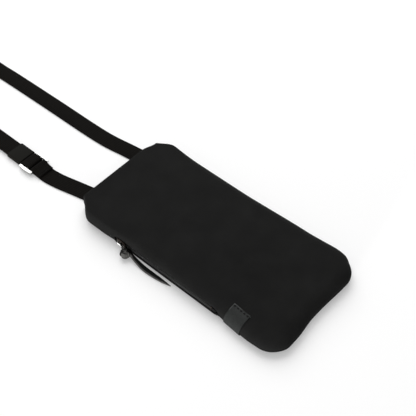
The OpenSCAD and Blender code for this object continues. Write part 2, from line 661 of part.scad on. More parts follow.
module short_strap_stitches() {
    z = rest_fit + strap_t * 2 + 3 * touch_fit + thread_d / 2;
    color(thread) for (x = tack_shares)
        translate([weave_x + x * strap_w, fold_end + stitch_l, z + touch_fit]) stitch(stitch_l);
}
anchor_stitch_shares = [-0.36, -0.12, 0.12, 0.36];
anchor_row_shares = [0.3, 0.75];
module anchor_stitches() {
    color(thread) for (way = [-1, 1]) for (x = anchor_stitch_shares) for (y = anchor_row_shares)
        translate([way * anchor_x + x * strap_w, facing_y + facing_l * y,
            wall + touch_fit / 2 + thread_d / 2]) stitch(2 * stitch_l);
}

front_shell();
front_padding();
front_lining();
front_facing();
back_shell();
back_padding();
back_lining();
back_facing();
pocket_divider();
zip_tape_front();
zip_tape_back();
zip_teeth_front();
zip_teeth_back();
zip_top_stops();
zip_bottom_stop();
zip_slider();
zip_slider_bail();
leather_pull();
leather_label();
label_stitches();
anchor_stitches();
short_strap();
short_strap_stitches();
strap_slider();
strap_keeper();
strap_run_right();
strap_coil();
strap_run_left();
strap_tie();
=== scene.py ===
from math import acos, atan2, cos, hypot, pi, radians, sin, sqrt

import bmesh
import bpy
from mathutils import Matrix, Vector, noise


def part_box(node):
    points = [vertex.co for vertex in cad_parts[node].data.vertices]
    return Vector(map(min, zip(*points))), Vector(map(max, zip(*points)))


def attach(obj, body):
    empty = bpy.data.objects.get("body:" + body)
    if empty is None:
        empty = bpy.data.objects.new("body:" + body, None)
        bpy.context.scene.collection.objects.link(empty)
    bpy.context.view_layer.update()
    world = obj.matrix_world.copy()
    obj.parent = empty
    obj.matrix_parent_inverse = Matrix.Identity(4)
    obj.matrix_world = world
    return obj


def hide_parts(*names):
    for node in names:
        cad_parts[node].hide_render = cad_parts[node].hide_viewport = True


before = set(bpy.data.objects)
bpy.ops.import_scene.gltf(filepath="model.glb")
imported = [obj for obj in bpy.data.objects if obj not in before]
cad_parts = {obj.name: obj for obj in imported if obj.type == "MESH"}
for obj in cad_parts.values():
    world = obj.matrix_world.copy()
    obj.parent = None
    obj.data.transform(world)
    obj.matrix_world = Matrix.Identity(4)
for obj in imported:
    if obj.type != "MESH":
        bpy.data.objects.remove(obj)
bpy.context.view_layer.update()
scene = bpy.context.scene
mm = 0.001
print("stage: frame loaded")


def addObject(name, data, place=(0, 0, 0), target=None):
    obj = bpy.data.objects.new(name, data)
    scene.collection.objects.link(obj)
    obj.location = place
    if target:
        obj.rotation_euler = (Vector(target) - Vector(place)).to_track_quat("-Z", "Y").to_euler()
    return obj


def addMesh(name, bm):
    mesh = bpy.data.meshes.new(name)
    bm.to_mesh(mesh)
    bm.free()
    return addObject(name, mesh)


# Camera at the angle of the photograph
view = {"place": (-0.3254, -0.2812, 0.5554), "target": (0.0242, 0.027, 0.0), "lens": 77.885, "sensor": 36.0}
cameraData = bpy.data.cameras.new("camera")
cameraData.lens, cameraData.sensor_width = view["lens"], view["sensor"]
cameraData.clip_start, cameraData.clip_end = 0.01, 20
scene.camera = addObject("camera", cameraData, view["place"], view["target"])
scene.view_settings.view_transform = "Standard"


# Shader helpers: a wire is one output of a node, and arithmetic on it adds Math nodes
class Wire:
    def __init__(self, finish, socket):
        self.finish, self.socket = finish, socket

    def math(self, kind, *others):
        return self.finish.node("ShaderNodeMath", {"operation": kind}, dict(enumerate((self,) + others)))

    def __add__(self, other):
        return self.math("ADD", other)

    def __radd__(self, other):
        return self.math("ADD", other)

    def __sub__(self, other):
        return self.math("SUBTRACT", other)

    def __mul__(self, other):
        return self.math("MULTIPLY", other)

    def __truediv__(self, other):
        return self.math("DIVIDE", other)

    def wave(self):
        return self.math("SINE")

    def clamp(self):
        return self.math("MAXIMUM", 0.0).math("MINIMUM", 1.0)


class Finish:
    def __init__(self, name, **sockets):
        self.material = bpy.data.materials.new(name)
        self.material.use_nodes = True
        self.tree = self.material.node_tree
        self.tree.nodes.clear()
        self.shader = self.node("ShaderNodeBsdfPrincipled", {}, sockets)
        self.end = self.node("ShaderNodeOutputMaterial", {}, {"Surface": self.shader}, None)

    def node(self, kind, settings, sockets, out=0):
        made = self.tree.nodes.new(kind)
        for key, value in settings.items():
            setattr(made, key, value)
        self.plug(made, sockets)
        return made if out is None else Wire(self, made.outputs[out])

    def plug(self, made, sockets):
        for key, value in sockets.items():
            if isinstance(value, Wire):
                self.tree.links.new(value.socket, made.inputs[key])
            else:
                made.inputs[key].default_value = value

    def set(self, **sockets):
        self.plug(self.shader.socket.node, {key.replace("_", " "): value for key, value in sockets.items()})

    def objectPlace(self):
        return self.node("ShaderNodeTexCoord", {}, {}, "Object")

    def ownUv(self):
        return self.node("ShaderNodeUVMap", {"uv_map": "UVMap"}, {}, "UV")

    def split(self, vector, axis):
        return self.node("ShaderNodeSeparateXYZ", {}, {"Vector": vector}, axis)

    def grain(self, place, scale, detail, roughness=0.55):
        sockets = {"Vector": place, "Scale": scale, "Detail": detail, "Roughness": roughness}
        return self.node("ShaderNodeTexNoise", {}, sockets, 0)

    def cells(self, place, scale):
        sockets = {"Vector": place, "Scale": scale}
        return self.node("ShaderNodeTexVoronoi", {"feature": "DISTANCE_TO_EDGE"}, sockets, "Distance")

    def tint(self, factor, dark, light):
        sockets = {0: factor, 6: (*dark, 1), 7: (*light, 1)}
        return self.node("ShaderNodeMix", {"data_type": "RGBA"}, sockets, 2)

    def relief(self, height, distance, strength, under=None):
        sockets = {"Height": height, "Distance": distance, "Strength": strength}
        if under is not None:
            sockets["Normal"] = under
        return self.node("ShaderNodeBump", {}, sockets, 0)


def stageFloor():
    look = {"half": 3.0, "colour": (0.98, 0.98, 0.98, 1), "lift": 0.26, "near": 0.5, "fade": 0.5}
    bm = bmesh.new()
    bmesh.ops.create_grid(bm, x_segments=1, y_segments=1, size=look["half"])
    floor = addMesh("floor", bm)
    paint = {"Base Color": look["colour"], "Roughness": 0.9, "Specular IOR Level": 0.1}
    finish = Finish("paleFloor", **paint)
    rays = finish.node("ShaderNodeLightPath", {}, {}, "Is Camera Ray")
    glow = finish.node("ShaderNodeEmission", {}, {"Color": (1, 1, 1, 1), "Strength": 1.0})
    away = finish.node("ShaderNodeVectorMath", {"operation": "LENGTH"}, {0: finish.objectPlace()}, 1)
    far = ((away - look["near"]) / look["fade"]).clamp()
    white = rays * (far * (1 - look["lift"]) + look["lift"])  # the floor turns white away from the pouch
    both = finish.node("ShaderNodeMixShader", {}, {0: white, 1: finish.shader, 2: glow})
    finish.plug(finish.end, {"Surface": both})
    floor.data.materials.append(finish.material)


def stageLights():
    ambient, aim, white = 0.45, (0, 0.05, 0), (1, 1, 1, 1)
    lamps = {
        "overhead": {"place": (1.15, 1.45, 1.8), "size": 2.7, "power": 71.0},
        "leftSide": {"place": (-1.4, -0.35, 0.03), "size": 0.16, "power": 37.0},
    }
    world = bpy.data.worlds.new("studio")
    scene.world = world
    world.use_nodes = True
    tree = world.node_tree
    tree.nodes.clear()
    kinds = ("ShaderNodeLightPath", "ShaderNodeMixShader", "ShaderNodeOutputWorld")
    rays, mix, end = [tree.nodes.new(kind) for kind in kinds]
    tree.links.new(rays.outputs["Is Camera Ray"], mix.inputs[0])
    for place, strength in ((1, ambient), (2, 1.0)):  # what lights the scene, and what the camera sees
        sky = tree.nodes.new("ShaderNodeBackground")
        sky.inputs["Color"].default_value, sky.inputs["Strength"].default_value = white, strength
        tree.links.new(sky.outputs[0], mix.inputs[place])
    tree.links.new(mix.outputs[0], end.inputs["Surface"])
    for name, lamp in lamps.items():
        data = bpy.data.lights.new(name, "AREA")
        data.energy, data.size = lamp["power"], lamp["size"]
        addObject(name, data, lamp["place"], aim)


stageFloor()
stageLights()
print("stage: camera, floor and light")


# Mesh helpers: every piece is made in millimetres and stored in metres
def addPiece(name, bm, finish, body, nodes):
    bmesh.ops.scale(bm, vec=(mm, mm, mm), verts=bm.verts)
    for face in bm.faces:
        face.smooth = True
    obj = addMesh(name, bm)
    obj.data.materials.append(finish.material)
    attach(obj, body)
    if nodes:
        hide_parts(*nodes)
    return obj


def sheetGrid(across, along, place):
    bm = bmesh.new()
    uv = bm.loops.layers.uv.new("UVMap")
    bmesh.ops.create_grid(bm, x_segments=across, y_segments=along, size=1)
    marks = {}
    for vert in bm.verts:
        spot, marks[vert] = place(vert.co.x, vert.co.y)
        vert.co = spot
    for face in bm.faces:
        for loop in face.loops:
            loop[uv].uv = marks[loop.vert]
    return bm


def pointUp(bm, direction):
    bm.normal_update()
    total = Vector()
    for face in bm.faces:
        total += face.normal * face.calc_area()
    if total.dot(Vector(direction)) < 0:
        bmesh.ops.reverse_faces(bm, faces=bm.faces)


# A section swept along places: its x runs along the direction across, its y along the normal
def sweep(places, across, section, closed=False, sizes=None):
    places, across = [Vector(p) for p in places], [Vector(p) for p in across]
    count, around = len(places), len(section)
    lengths = [0.0]
    for a, b in zip(places, places[1:]):
        lengths.append(lengths[-1] + (b - a).length)
    frames = []
    for i, here in enumerate(places):
        before = places[i - 1] if i or closed else places[0]
        after = places[(i + 1) % count] if i < count - 1 or closed else places[-1]
        forward = (after - before).normalized()
        side = (across[i] - forward * across[i].dot(forward)).normalized()
        frames.append((here, side, forward.cross(side)))
    girth = [0.0]
    for a, b in zip(section, section[1:] + section[:1]):
        girth.append(girth[-1] + hypot(b[0] - a[0], b[1] - a[1]))
    rings = count if closed else count - 1

    def place(a, b):
        i, j = round((b + 1) / 2 * rings), round((a + 1) / 2 * around)
        here, side, up = frames[i % count]
        x, y = section[j % around]
        wide, high = sizes[i % count] if sizes else (1.0, 1.0)
        u, v = girth[j], lengths[i] if i < count else lengths[-1] + 1
        return here + side * x * wide + up * y * high, (u, v)

    bm = sheetGrid(around, rings, place)
    bmesh.ops.remove_doubles(bm, verts=bm.verts, dist=1e-5)
    if not closed:
        bmesh.ops.holes_fill(bm, edges=[e for e in bm.edges if e.is_boundary], sides=0)
    bmesh.ops.recalc_face_normals(bm, faces=bm.faces)
    return bm


def roundSection(width, height, corner, steps):
    flatX, flatY = width / 2 - corner, height / 2 - corner
    points = []
    for turn, (x, y) in enumerate([(1, 1), (-1, 1), (-1, -1), (1, -1)]):
        for i in range(steps + 1):
            t = (turn + i / steps) * pi / 2
            points.append((x * flatX + corner * cos(t), y * flatY + corner * sin(t)))
    return points


def ovalSection(width, height, steps):
    return [(width / 2 * cos(2 * pi * i / steps), height / 2 * sin(2 * pi * i / steps)) for i in range(steps)]


# A smooth curve through points: s is the share of the way from q to r
def between(p, q, r, t, s):
    return q + s * ((r - p) / 2 + s * (p - 2.5 * q + 2 * r - t / 2 + s * (1.5 * (q - r) + (t - p) / 2)))


def spline(points, steps):
    made = []
    for i in range(len(points) - 1):
        a, b, c, d = points[max(i - 1, 0)], points[i], points[i + 1], points[min(i + 2, len(points) - 1)]
        for k in range(steps):
            made.append([between(*near, k / steps) for near in zip(a, b, c, d)])
    return made + [list(points[-1])]


def ease(value):
    s = min(1.0, max(0.0, value))
    return s * s * (3 - 2 * s)


# A smooth step from 0 to 1: span is where it starts and how long it is, negative if it goes the other way
def step(value, span):
    return ease((value - span[0]) / span[1])


def joined(parts):
    whole = bmesh.new()
    for part in parts:
        mesh = bpy.data.meshes.new("part")
        part.to_mesh(mesh)
        part.free()
        whole.from_mesh(mesh)
        bpy.data.meshes.remove(mesh)
    return whole


def addModifier(obj, kind, **settings):
    modifier = obj.modifiers.new(kind.title(), kind)
    for key, value in settings.items():
        setattr(modifier, key, value)
    return modifier


# Finishes
def wovenFinish(name, dark, light, thread, roughness, relief, level=0.25):
    f = Finish(name, **{"Roughness": roughness, "Specular IOR Level": level})
    uv = f.ownUv()
    u, v = f.split(uv, 0), f.split(uv, 1)
    drift = f.grain(uv, 0.35, 3.0)
    warp = (u * (2 * pi / thread) + drift * 1.2).wave()
    weft = (v * (2 * pi / thread) - drift * 1.2).wave()
    weave = warp * weft * 0.5 + 0.5
    fibre = f.grain(uv, 9.0, 3.0, 0.7)
    cloudy = f.grain(uv, 0.045, 3.0, 0.5)
    shade = (weave * 0.55 + fibre * 0.3 + cloudy * 0.5 - 0.18).clamp()
    f.set(Base_Color=f.tint(shade, dark, light), Roughness=(fibre * 0.2 + (roughness - 0.1)).clamp())
    f.set(Normal=f.relief(weave * 0.7 + fibre * 0.5, relief * mm, 0.6, f.relief(cloudy, 0.6 * mm, 0.25)))
    return f


def webbingFinish(name, dark, light):
    f = Finish(name, **{"Roughness": 0.75, "Specular IOR Level": 0.03})
    uv = f.ownUv()
    u, v = f.split(uv, 0), f.split(uv, 1)
    rib = (u * (2 * pi / 1.55)).wave()
    cross = (v * (2 * pi / 0.9) + rib * 1.4).wave()
    fibre = f.grain(uv, 6.0, 3.0, 0.7)
    height = rib * 0.5 + cross * 0.3 + fibre * 0.3
    shade = (height * 0.45 + 0.45).clamp()
    f.set(Base_Color=f.tint(shade, dark, light), Roughness=(0.62 + fibre * 0.2).clamp())
    f.set(Normal=f.relief(height, 0.16 * mm, 0.8))
    return f


def leatherFinish(name, dark, light, scale, roughness, level):
    f = Finish(name, **{"Roughness": roughness, "Specular IOR Level": level})
    spot = f.objectPlace()
    pebble = f.cells(spot, scale)
    pore = f.grain(spot, scale * 2.2, 5.0, 0.6)
    cloudy = f.grain(spot, scale * 0.12, 3.0)
    shade = (pebble * 0.8 + pore * 0.3 + cloudy * 0.7 - 0.35).clamp()
    f.set(Base_Color=f.tint(shade, dark, light), Roughness=(roughness - 0.1 + pore * 0.2).clamp())
    f.set(Normal=f.relief(pebble.math("MINIMUM", 0.25) * 3 + pore * 0.3, 0.12 * mm, 0.7))
    return f


def metalFinish(name, dark, light, roughness):
    f = Finish(name, **{"Metallic": 1.0, "Roughness": roughness})
    spot = f.objectPlace()
    smear = f.grain(spot, 160.0, 4.0)
    fine = f.grain(spot, 900.0, 2.0, 0.6)
    shine = (roughness - 0.04 + smear * 0.08 + fine * 0.06).clamp()
    f.set(Base_Color=f.tint(smear, dark, light), Roughness=shine)
    f.set(Normal=f.relief(fine, 0.01 * mm, 0.3))
    return f


def plainFinish(name, dark, light, roughness, scale, relief, level):
    f = Finish(name, **{"Roughness": roughness, "Specular IOR Level": level})
    spot = f.objectPlace()
    fine = f.grain(spot, scale, 4.0)
    broad = f.grain(spot, scale * 0.08, 3.0)
    shade = (fine * 0.5 + broad * 0.6 - 0.05).clamp()
    f.set(Base_Color=f.tint(shade, dark, light), Roughness=(roughness - 0.08 + fine * 0.16).clamp())
    f.set(Normal=f.relief(fine, relief * mm, 0.5))
    return f


def threadFinish(name, dark, light):
    f = Finish(name, **{"Roughness": 0.7, "Specular IOR Level": 0.12})
    uv = f.ownUv()
    twist = (f.split(uv, 1) * 9.0 + f.split(uv, 0) * 6.0).wave() * 0.5 + 0.5
    f.set(Base_Color=f.tint(twist, dark, light), Normal=f.relief(twist, 0.06 * mm, 0.8))
    return f


def grey(value):
    return (value, value, value)


outerCloth = wovenFinish("outerCloth", grey(0.0006), (0.0152, 0.0152, 0.0148), 0.62, 0.8, 0.14, 0.07)
liningCloth = wovenFinish("liningCloth", grey(0.01), grey(0.024), 0.3, 0.6, 0.04)
zipCloth = wovenFinish("zipCloth", grey(0.004), grey(0.013), 0.4, 0.8, 0.06, 0.15)
foam = plainFinish("foam", grey(0.03), grey(0.07), 0.95, 900.0, 0.2, 0.1)
strapWebbing = webbingFinish("strapWebbing", (0.0004, 0.0003, 0.0002), (0.0096, 0.0086, 0.0074))
labelDark, labelLight = (0.0075, 0.0086, 0.0082), (0.032, 0.034, 0.033)
labelLeather = leatherFinish("labelLeather", labelDark, labelLight, 1500.0, 0.6, 0.17)
# A paler copy of the label leather, used as painted highlight along the label's rim
labelRimHighlight = leatherFinish("labelRimHighlight", (0.03, 0.032, 0.031), (0.1, 0.104, 0.102), 1500.0, 0.6, 0.17)
pullLeather = leatherFinish("pullLeather", (0.001, 0.001, 0.0009), (0.008, 0.008, 0.0075), 1300.0, 0.6, 0.1)
# A paler leather for the pull's cut edge and for the painted highlight on its lit faces
rawEdgeAndHighlight = leatherFinish("rawEdgeAndHighlight", (0.04, 0.039, 0.037), (0.13, 0.126, 0.121), 1700.0, 0.8, 0.2)
brightMetal = metalFinish("brightMetal", (0.42, 0.42, 0.41), (0.6, 0.6, 0.59), 0.22)
bailMetal = metalFinish("bailMetal", (0.82, 0.82, 0.81), (0.95, 0.95, 0.94), 0.14)
zipMetal = metalFinish("zipMetal", (0.025, 0.02, 0.017), (0.06, 0.048, 0.042), 0.34)
zipPlastic = plainFinish("zipPlastic", grey(0.007), grey(0.017), 0.45, 700.0, 0.02, 0.3)
bandDark, bandLight = (0.0035, 0.0034, 0.0027), (0.0105, 0.01, 0.008)
keeperBand = plainFinish("keeperBand", bandDark, bandLight, 0.7, 500.0, 0.04, 0.06)
darkThread = threadFinish("darkThread", grey(0.002), grey(0.012))
labelThread = threadFinish("labelThread", grey(0.0005), grey(0.002))
print("stage: finishes")


# The pouch: every layer of cloth is the same surface at its own depth under the outer face, in millimetres
pouch = {
    "length": 205.0, "width": 99.6, "mouth": 81.0, "low": 104.0,  # overall, at the mouth, at the low end
    "thick": 14.0, "lowThick": 12.8, "thickFade": (-0.8, 0.8),
    "seam": 5.5, "seamGap": 0.05,  # height of the side seam, and how far each panel stays off it
    "shoulder": 13.0, "shoulderRound": 16.0, "corner": 16.0, "dip": 1.2,
    "mouthRoll": 2.8, "lowRoll": 13.5, "leftFade": (-0.62, 1.28),  # how far in the sides are rounded
    "rightRoll": 10.0, "rightFade": (56, 32), "acrossFade": (0, 40), "backRoll": 5.5,
    "slot": 6.4, "zipTop": 56.2, "zipLow": -43.65, "ramp": 6.0, "topRamp": 2.6,  # the opening for the zip
    "lip": 0.55, "lipTurn": 1.6, "lipDeep": 3.2,  # the cloth's edge that turns in at the seam
    "hem": 1.2, "hemTurn": 1.4, "hemBack": 0.714, "hemDeep": 10,  # the edge that turns in at the mouth
    "drop": 3.2, "dropX": (26, 13), "dropY": (84, 18),  # how far the right shoulder lies back
}
outline = {"shoulderSteps": 12, "cornerSteps": 12, "sideStep": 1.5, "bottomSteps": 20}  # its points
halfW, halfL = pouch["width"] / 2, pouch["length"] / 2
cornerX, cornerY = pouch["low"] / 2 - pouch["corner"], pouch["corner"] - halfL
flareY = pouch["zipLow"] - pouch["ramp"]


def lineAt(points, share):
    lengths = [0.0]
    for a, b in zip(points, points[1:]):
        lengths.append(lengths[-1] + hypot(b[0] - a[0], b[1] - a[1]))
    goal = share * lengths[-1]
    for i in range(len(points) - 1):
        if goal <= lengths[i + 1] or i == len(points) - 2:
            k = (goal - lengths[i]) / max(1e-9, lengths[i + 1] - lengths[i])
            return [p + (q - p) * k for p, q in zip(points[i], points[i + 1])]


def shoulderLine():
    a, c = Vector((pouch["mouth"] / 2, halfL)), Vector((halfW, 0))
    b = Vector((halfW, halfL - pouch["shoulder"]))
    u, v = (a - b).normalized(), (c - b).normalized()
    angle, radius, steps = acos(u.dot(v)), pouch["shoulderRound"], outline["shoulderSteps"]
    centre = b + (u + v).normalized() * radius / sin(angle / 2)
    first = b + u * radius / (sin(angle / 2) / cos(angle / 2)) - centre
    start = atan2(first.y, first.x)
    turns = [start - (pi - angle) * i / steps for i in range(steps + 1)]
    arc = [centre + radius * Vector((cos(turn), sin(turn))) for turn in turns]
    return [tuple(a)] + [tuple(p) for p in arc] + [(halfW, 0.0)]


def sideX(y):
    return halfW + (pouch["low"] / 2 - halfW) * ease((flareY - y) / (flareY - cornerY))


upperLine, half = shoulderLine(), outline["cornerSteps"] // 2
cornerTurns = [i * pi / 2 / outline["cornerSteps"] for i in range(outline["cornerSteps"] + 1)]
arcLine = [(cornerX + pouch["corner"] * cos(t), cornerY - pouch["corner"] * sin(t)) for t in cornerTurns]
sideRows = [-outline["sideStep"] * i for i in range(int(-cornerY / outline["sideStep"]) + 1)]
sideLine = [(sideX(y), y) for y in sideRows] + arcLine[:half + 1]
bottomShares = [1 - i / outline["bottomSteps"] for i in range(1, outline["bottomSteps"] + 1)]
bottomLine = arcLine[half:] + [(cornerX * share, -halfL) for share in bottomShares]


def upperX(y):
    for (x0, y0), (x1, y1) in zip(upperLine, upperLine[1:]):
        if y >= y1:
            return x0 + (x1 - x0) * (y0 - y) / max(1e-9, y0 - y1)
    return halfW


def slotOpen(x, y):
    if x >= 0:
        return 0.0
    low = ease((y - flareY) / pouch["ramp"])
    return low * ease((pouch["zipTop"] + pouch["topRamp"] - y) / pouch["topRamp"])


def rollAt(y, x=-1.0):
    left = pouch["lowRoll"] + (pouch["mouthRoll"] - pouch["lowRoll"]) * step(y / halfL, pouch["leftFade"])
    right = pouch["rightRoll"] + (pouch["mouthRoll"] - pouch["rightRoll"]) * step(y, pouch["rightFade"])
    return left + (right - left) * step(x, pouch["acrossFade"])


def topAt(y):
    return pouch["lowThick"] + (pouch["thick"] - pouch["lowThick"]) * step(y / halfL, pouch["thickFade"])


# How far the filled pouch stands wider than its cut outline, and the spans where each swell comes and goes
swell = {
    "right": 2.4, "rightOn": (14, -70), "rightOff": (-78, -20), "rightCorner": 1.5, "cornerOn": (-87, -8),
    "mouthCorner": 1.2, "mouthOn": (90, 10),
    "left": 0.95, "leftOn": (-44, -14), "leftOff": (-74, -14),
    "leftShoulder": 1.5, "shoulderOn": (48, 24), "shoulderOff": (88, 11),
    "lowEdge": 1.2, "lowOn": (-84, -14), "edgeOn": (-6, -20), "edgeOff": (-36, -12),
}


def swellX(x, y):
    if x > 0:
        wide = swell["right"] * step(y, swell["rightOn"]) * (1 - step(y, swell["rightOff"]))
        wide -= swell["rightCorner"] * step(y, swell["cornerOn"])
        return (wide + swell["mouthCorner"] * step(y, swell["mouthOn"])) * ease(x / halfW)
    wide = swell["left"] * step(y, swell["leftOn"]) * (1 - step(y, swell["leftOff"]))
    wide += swell["leftShoulder"] * step(y, swell["shoulderOn"]) * (1 - step(y, swell["shoulderOff"]))
    return -wide * ease(-x / halfW)


def swellY(x, y):
    low = swell["lowEdge"] * step(y, swell["lowOn"])
    return -low * step(x, swell["edgeOn"]) * (1 - step(x, swell["edgeOff"]))


# Where the grid of a layer turns: its flat middle, its roll to the seam, its hem, and the pouch's middle
grid = {"flat": 0.62, "roll": 0.95, "hem": 0.045, "middle": 0.5}


# The low half of the outline for a grid place: a across, c from the middle to the bottom
def lowPlace(a, c):
    ring = max(abs(a), c)
    return ring, lineAt(sideLine, c / ring) if abs(a) >= c else lineAt(bottomLine, 1 - abs(a) / ring)


# A point of a layer for a grid place: a across, b from the mouth to the bottom
def layerPoint(a, b, under, front, lips=True, hemmed=True, wrinkle=None):
    hem = 0.0
    if hemmed and b < grid["hem"]:
        hem, b = 1 - b / grid["hem"], grid["hem"]
    start = grid["hem"] if hemmed else 0.0
    b = (b - start) / (1 - start)
    sideShare = 1.0
    if b <= grid["middle"]:
        y = (halfL - (pouch["hem"] if hemmed else 0.0)) * (1 - b / grid["middle"])
        ring, x = abs(a), upperX(y)
    else:
        c = (b - grid["middle"]) / (1 - grid["middle"])
        ring, (x, y) = lowPlace(a, c)
        sideShare = abs(a) ** 4 / (abs(a) ** 4 + c ** 4)
    x = x if a >= 0 else -x
    under = under(x * min(1.0, ring / grid["flat"]), y) if callable(under) else under
    roll = rollAt(y, x) if front else pouch["backRoll"]
    inward, turn, depth = 0.0, 0.0, under
    if ring > grid["roll"] and lips:
        inward = (ring - grid["roll"]) / (1 - grid["roll"])
    elif ring > grid["flat"]:
        edge = grid["roll"] if lips else 1.0
        turn = pi / 2 * (edge - ring) / (edge - grid["flat"])
        depth = under + (roll - under) * (1 - cos(turn))
    else:
        turn, depth = pi / 2, roll + (halfW - roll) * (1 - ring / grid["flat"])
    lip = pouch["lip"] if lips else 0.0
    away = pouch["seamGap"] + pouch["slot"] / 2 * slotOpen(x, y) + lip
    rim = pouch["seam"] + (away if front else -away)
    rise = 0.0
    if y < cornerY - pouch["corner"] / 2:
        rise = pouch["dip"] * (1 + cos(pi * min(1.0, abs(x) / cornerX))) / 2 * (1 - min(1.0, depth / roll))
    spotX = x * (1 - depth / halfW)
    spotY = (y + rise) * (1 - depth / halfL) if y < 0 else y
    high = topAt(y) if front else 0.0
    if front and y < 0 and depth > roll:
        high = topAt(max(-halfL, spotY / (1 - roll / halfL)))
    if wrinkle:
        high += wrinkle(spotX, spotY) * sin(turn) ** 2
    z = rim + (high - under - rim) * sin(turn) if front else rim - (rim - under) * sin(turn)
    drop = topAt(y) - z if front else z
    uv = (spotX + (drop if x > 0 else -drop) * sideShare, spotY - drop * (1 - sideShare))
    if inward > 0:  # the cloth turns in at the seam
        swing = min(1.0, inward * pouch["lipTurn"]) * pi / 2
        inset = lip * (1 - cos(swing)) + max(0.0, inward - 1 / pouch["lipTurn"]) * pouch["lipDeep"]
        z += -lip * sin(swing) if front else lip * sin(swing)
        spotX *= 1 - inset / halfW
        spotY *= 1 - inset / halfL if y < 0 else 1.0
    if y > pouch["dropY"][0]:
        spotY -= pouch["drop"] * step(spotX, pouch["dropX"]) * step(y, pouch["dropY"])
    spotX, spotY = spotX + swellX(spotX, y), spotY + swellY(spotX, y)
    if hem > 0:  # the cloth turns in at the mouth
        swing = min(1.0, hem * pouch["hemTurn"]) * pi
        down, towards = pouch["hem"] * (1 - cos(swing)), sin(turn)
        z += -down * towards if front else down * towards
        spotX -= (1 if x > 0 else -1) * down * (1 - towards)
        spotY += pouch["hem"] * sin(swing) - max(0.0, hem - pouch["hemBack"]) * pouch["hemDeep"]
    return Vector((spotX, spotY, z)), uv


# The slack of the front cloth: a sheet pinned along its seams falls on a flat pad, at ten times the size,
# and its height is added to every front layer
drape = {
    "across": 34, "along": 70, "inset": 5.0, "scale": 10.0, "frames": 24, "slack": 0.004,
    "start": 0.02, "wave": (2.2, 4.1, 5.5), "waveLift": 0.4, "pinned": 0.98,
    "pad": -0.0075, "padWider": 1.1, "padDistance": 0.002, "distance": 0.004,
    "quality": 6, "mass": 0.4, "air": 2.0, "stretch": 25.0, "shear": 10.0, "bending": 20.0,
    "low": -0.2, "high": 0.8, "share": 0.6,  # what is used of the folds, in millimetres on the pouch
}
slackRows = {}


def simulateSlack():
    reach = Vector((halfW - drape["inset"], halfL - drape["inset"], 0)) * drape["scale"] * mm
    wide, long, offset = drape["wave"]
    sheets = (("slackCloth", drape["across"], drape["along"], drape["start"]), ("slackPad", 1, 1, 0.0))
    made = []
    for name, across, along, height in sheets:
        bm = bmesh.new()
        bmesh.ops.create_grid(bm, x_segments=across, y_segments=along, size=1)
        for vert in bm.verts:
            wave = drape["waveLift"] + noise.noise(Vector((vert.co.x * wide, vert.co.y * long, offset)))
            rise = height * wave * (1 - vert.co.x ** 2) * (1 - vert.co.y ** 2)
            vert.co = Vector((vert.co.x * reach.x, vert.co.y * reach.y, rise))
        made.append(addMesh(name, bm))
    cloth, pad = made
    pad.location.z = drape["pad"]
    pad.scale = (drape["padWider"], drape["padWider"], 1)
    pad.modifiers.new("Collision", "COLLISION")
    pad.collision.thickness_outer = drape["padDistance"]
    pinX, pinY = reach.x * drape["pinned"], reach.y * drape["pinned"]
    pinned = [v.index for v in cloth.data.vertices if abs(v.co.x) > pinX or abs(v.co.y) > pinY]
    seam = cloth.vertex_groups.new(name="seam")
    seam.add(pinned, 1.0, "REPLACE")
    fabric = cloth.modifiers.new("Cloth", "CLOTH")
    fabric.collision_settings.distance_min = drape["distance"]
    sim = fabric.settings
    sim.quality, sim.mass, sim.air_damping = drape["quality"], drape["mass"], drape["air"]
    sim.tension_stiffness = sim.compression_stiffness = drape["stretch"]
    sim.shear_stiffness, sim.bending_stiffness = drape["shear"], drape["bending"]
    sim.vertex_group_mass, sim.shrink_min = "seam", -drape["slack"]
    for number in range(1, drape["frames"] + 1):
        scene.frame_set(number)
    shape = cloth.evaluated_get(bpy.context.evaluated_depsgraph_get()).to_mesh()
    raw = {}
    for vert, start in zip(shape.vertices, cloth.data.vertices):
        i = round((start.co.x / reach.x + 1) / 2 * drape["across"])
        j = round((start.co.y / reach.y + 1) / 2 * drape["along"])
        raw[i, j] = max(drape["low"], min(drape["high"], vert.co.z / drape["scale"] / mm))
    for i, j in raw:  # the stiff padding evens the folds out
        near = [raw[i + a, j + b] for a in (-1, 0, 1) for b in (-1, 0, 1) if (i + a, j + b) in raw]
        slackRows[i, j] = drape["share"] * sum(near) / len(near) if len(near) == 9 else 0.0
    low, high = min(slackRows.values()), max(slackRows.values())
    print("stage: slack of the cloth, from", round(low, 3), "to", round(high, 3), "mm")
    for obj in made:
        mesh = obj.data
        bpy.data.objects.remove(obj)
        bpy.data.meshes.remove(mesh)
    scene.frame_set(1)


def slackAt(x, y):
    if not slackRows:
        return 0.0
    across, along = drape["across"], drape["along"]
    u = (x / (halfW - drape["inset"]) + 1) / 2 * across
    v = (y / (halfL - drape["inset"]) + 1) / 2 * along
    if not (0 < u < across and 0 < v < along):
        return 0.0
    i, j = min(int(u), across - 1), min(int(v), along - 1)
    s, t = u - i, v - j
    near = slackRows[i, j] * (1 - s) + slackRows[i + 1, j] * s
    far = slackRows[i, j + 1] * (1 - s) + slackRows[i + 1, j + 1] * s
    return near * (1 - t) + far * t


simulateSlack()


# The padded front is uneven, broadly and finely, more so towards the low end, where it also sinks
wrinkles = {
    "broad": (0.021, 0.016, 3.1), "broadHigh": 0.5, "fine": (0.055, 0.03, 7.7), "fineHigh": 0.22,
    "even": 0.35, "more": 0.8, "moreOn": (-5, -70), "sink": 0.3,
}


def unevenness(x, y, scales):
    return noise.noise(Vector((x * scales[0], y * scales[1], scales[2])))


def cushionWrinkle(x, y):
    soft = unevenness(x, y, wrinkles["broad"]) * wrinkles["broadHigh"]
    soft += unevenness(x, y, wrinkles["fine"]) * wrinkles["fineHigh"]
    slack = step(y, wrinkles["moreOn"])
    sink = wrinkles["sink"] * slack * (1 - (abs(x) / halfW) ** 2)
    return soft * (wrinkles["even"] + wrinkles["more"] * slack) - sink + slackAt(x, y)


def layerRow(y):
    return grid["middle"] * (1 - y / halfL)


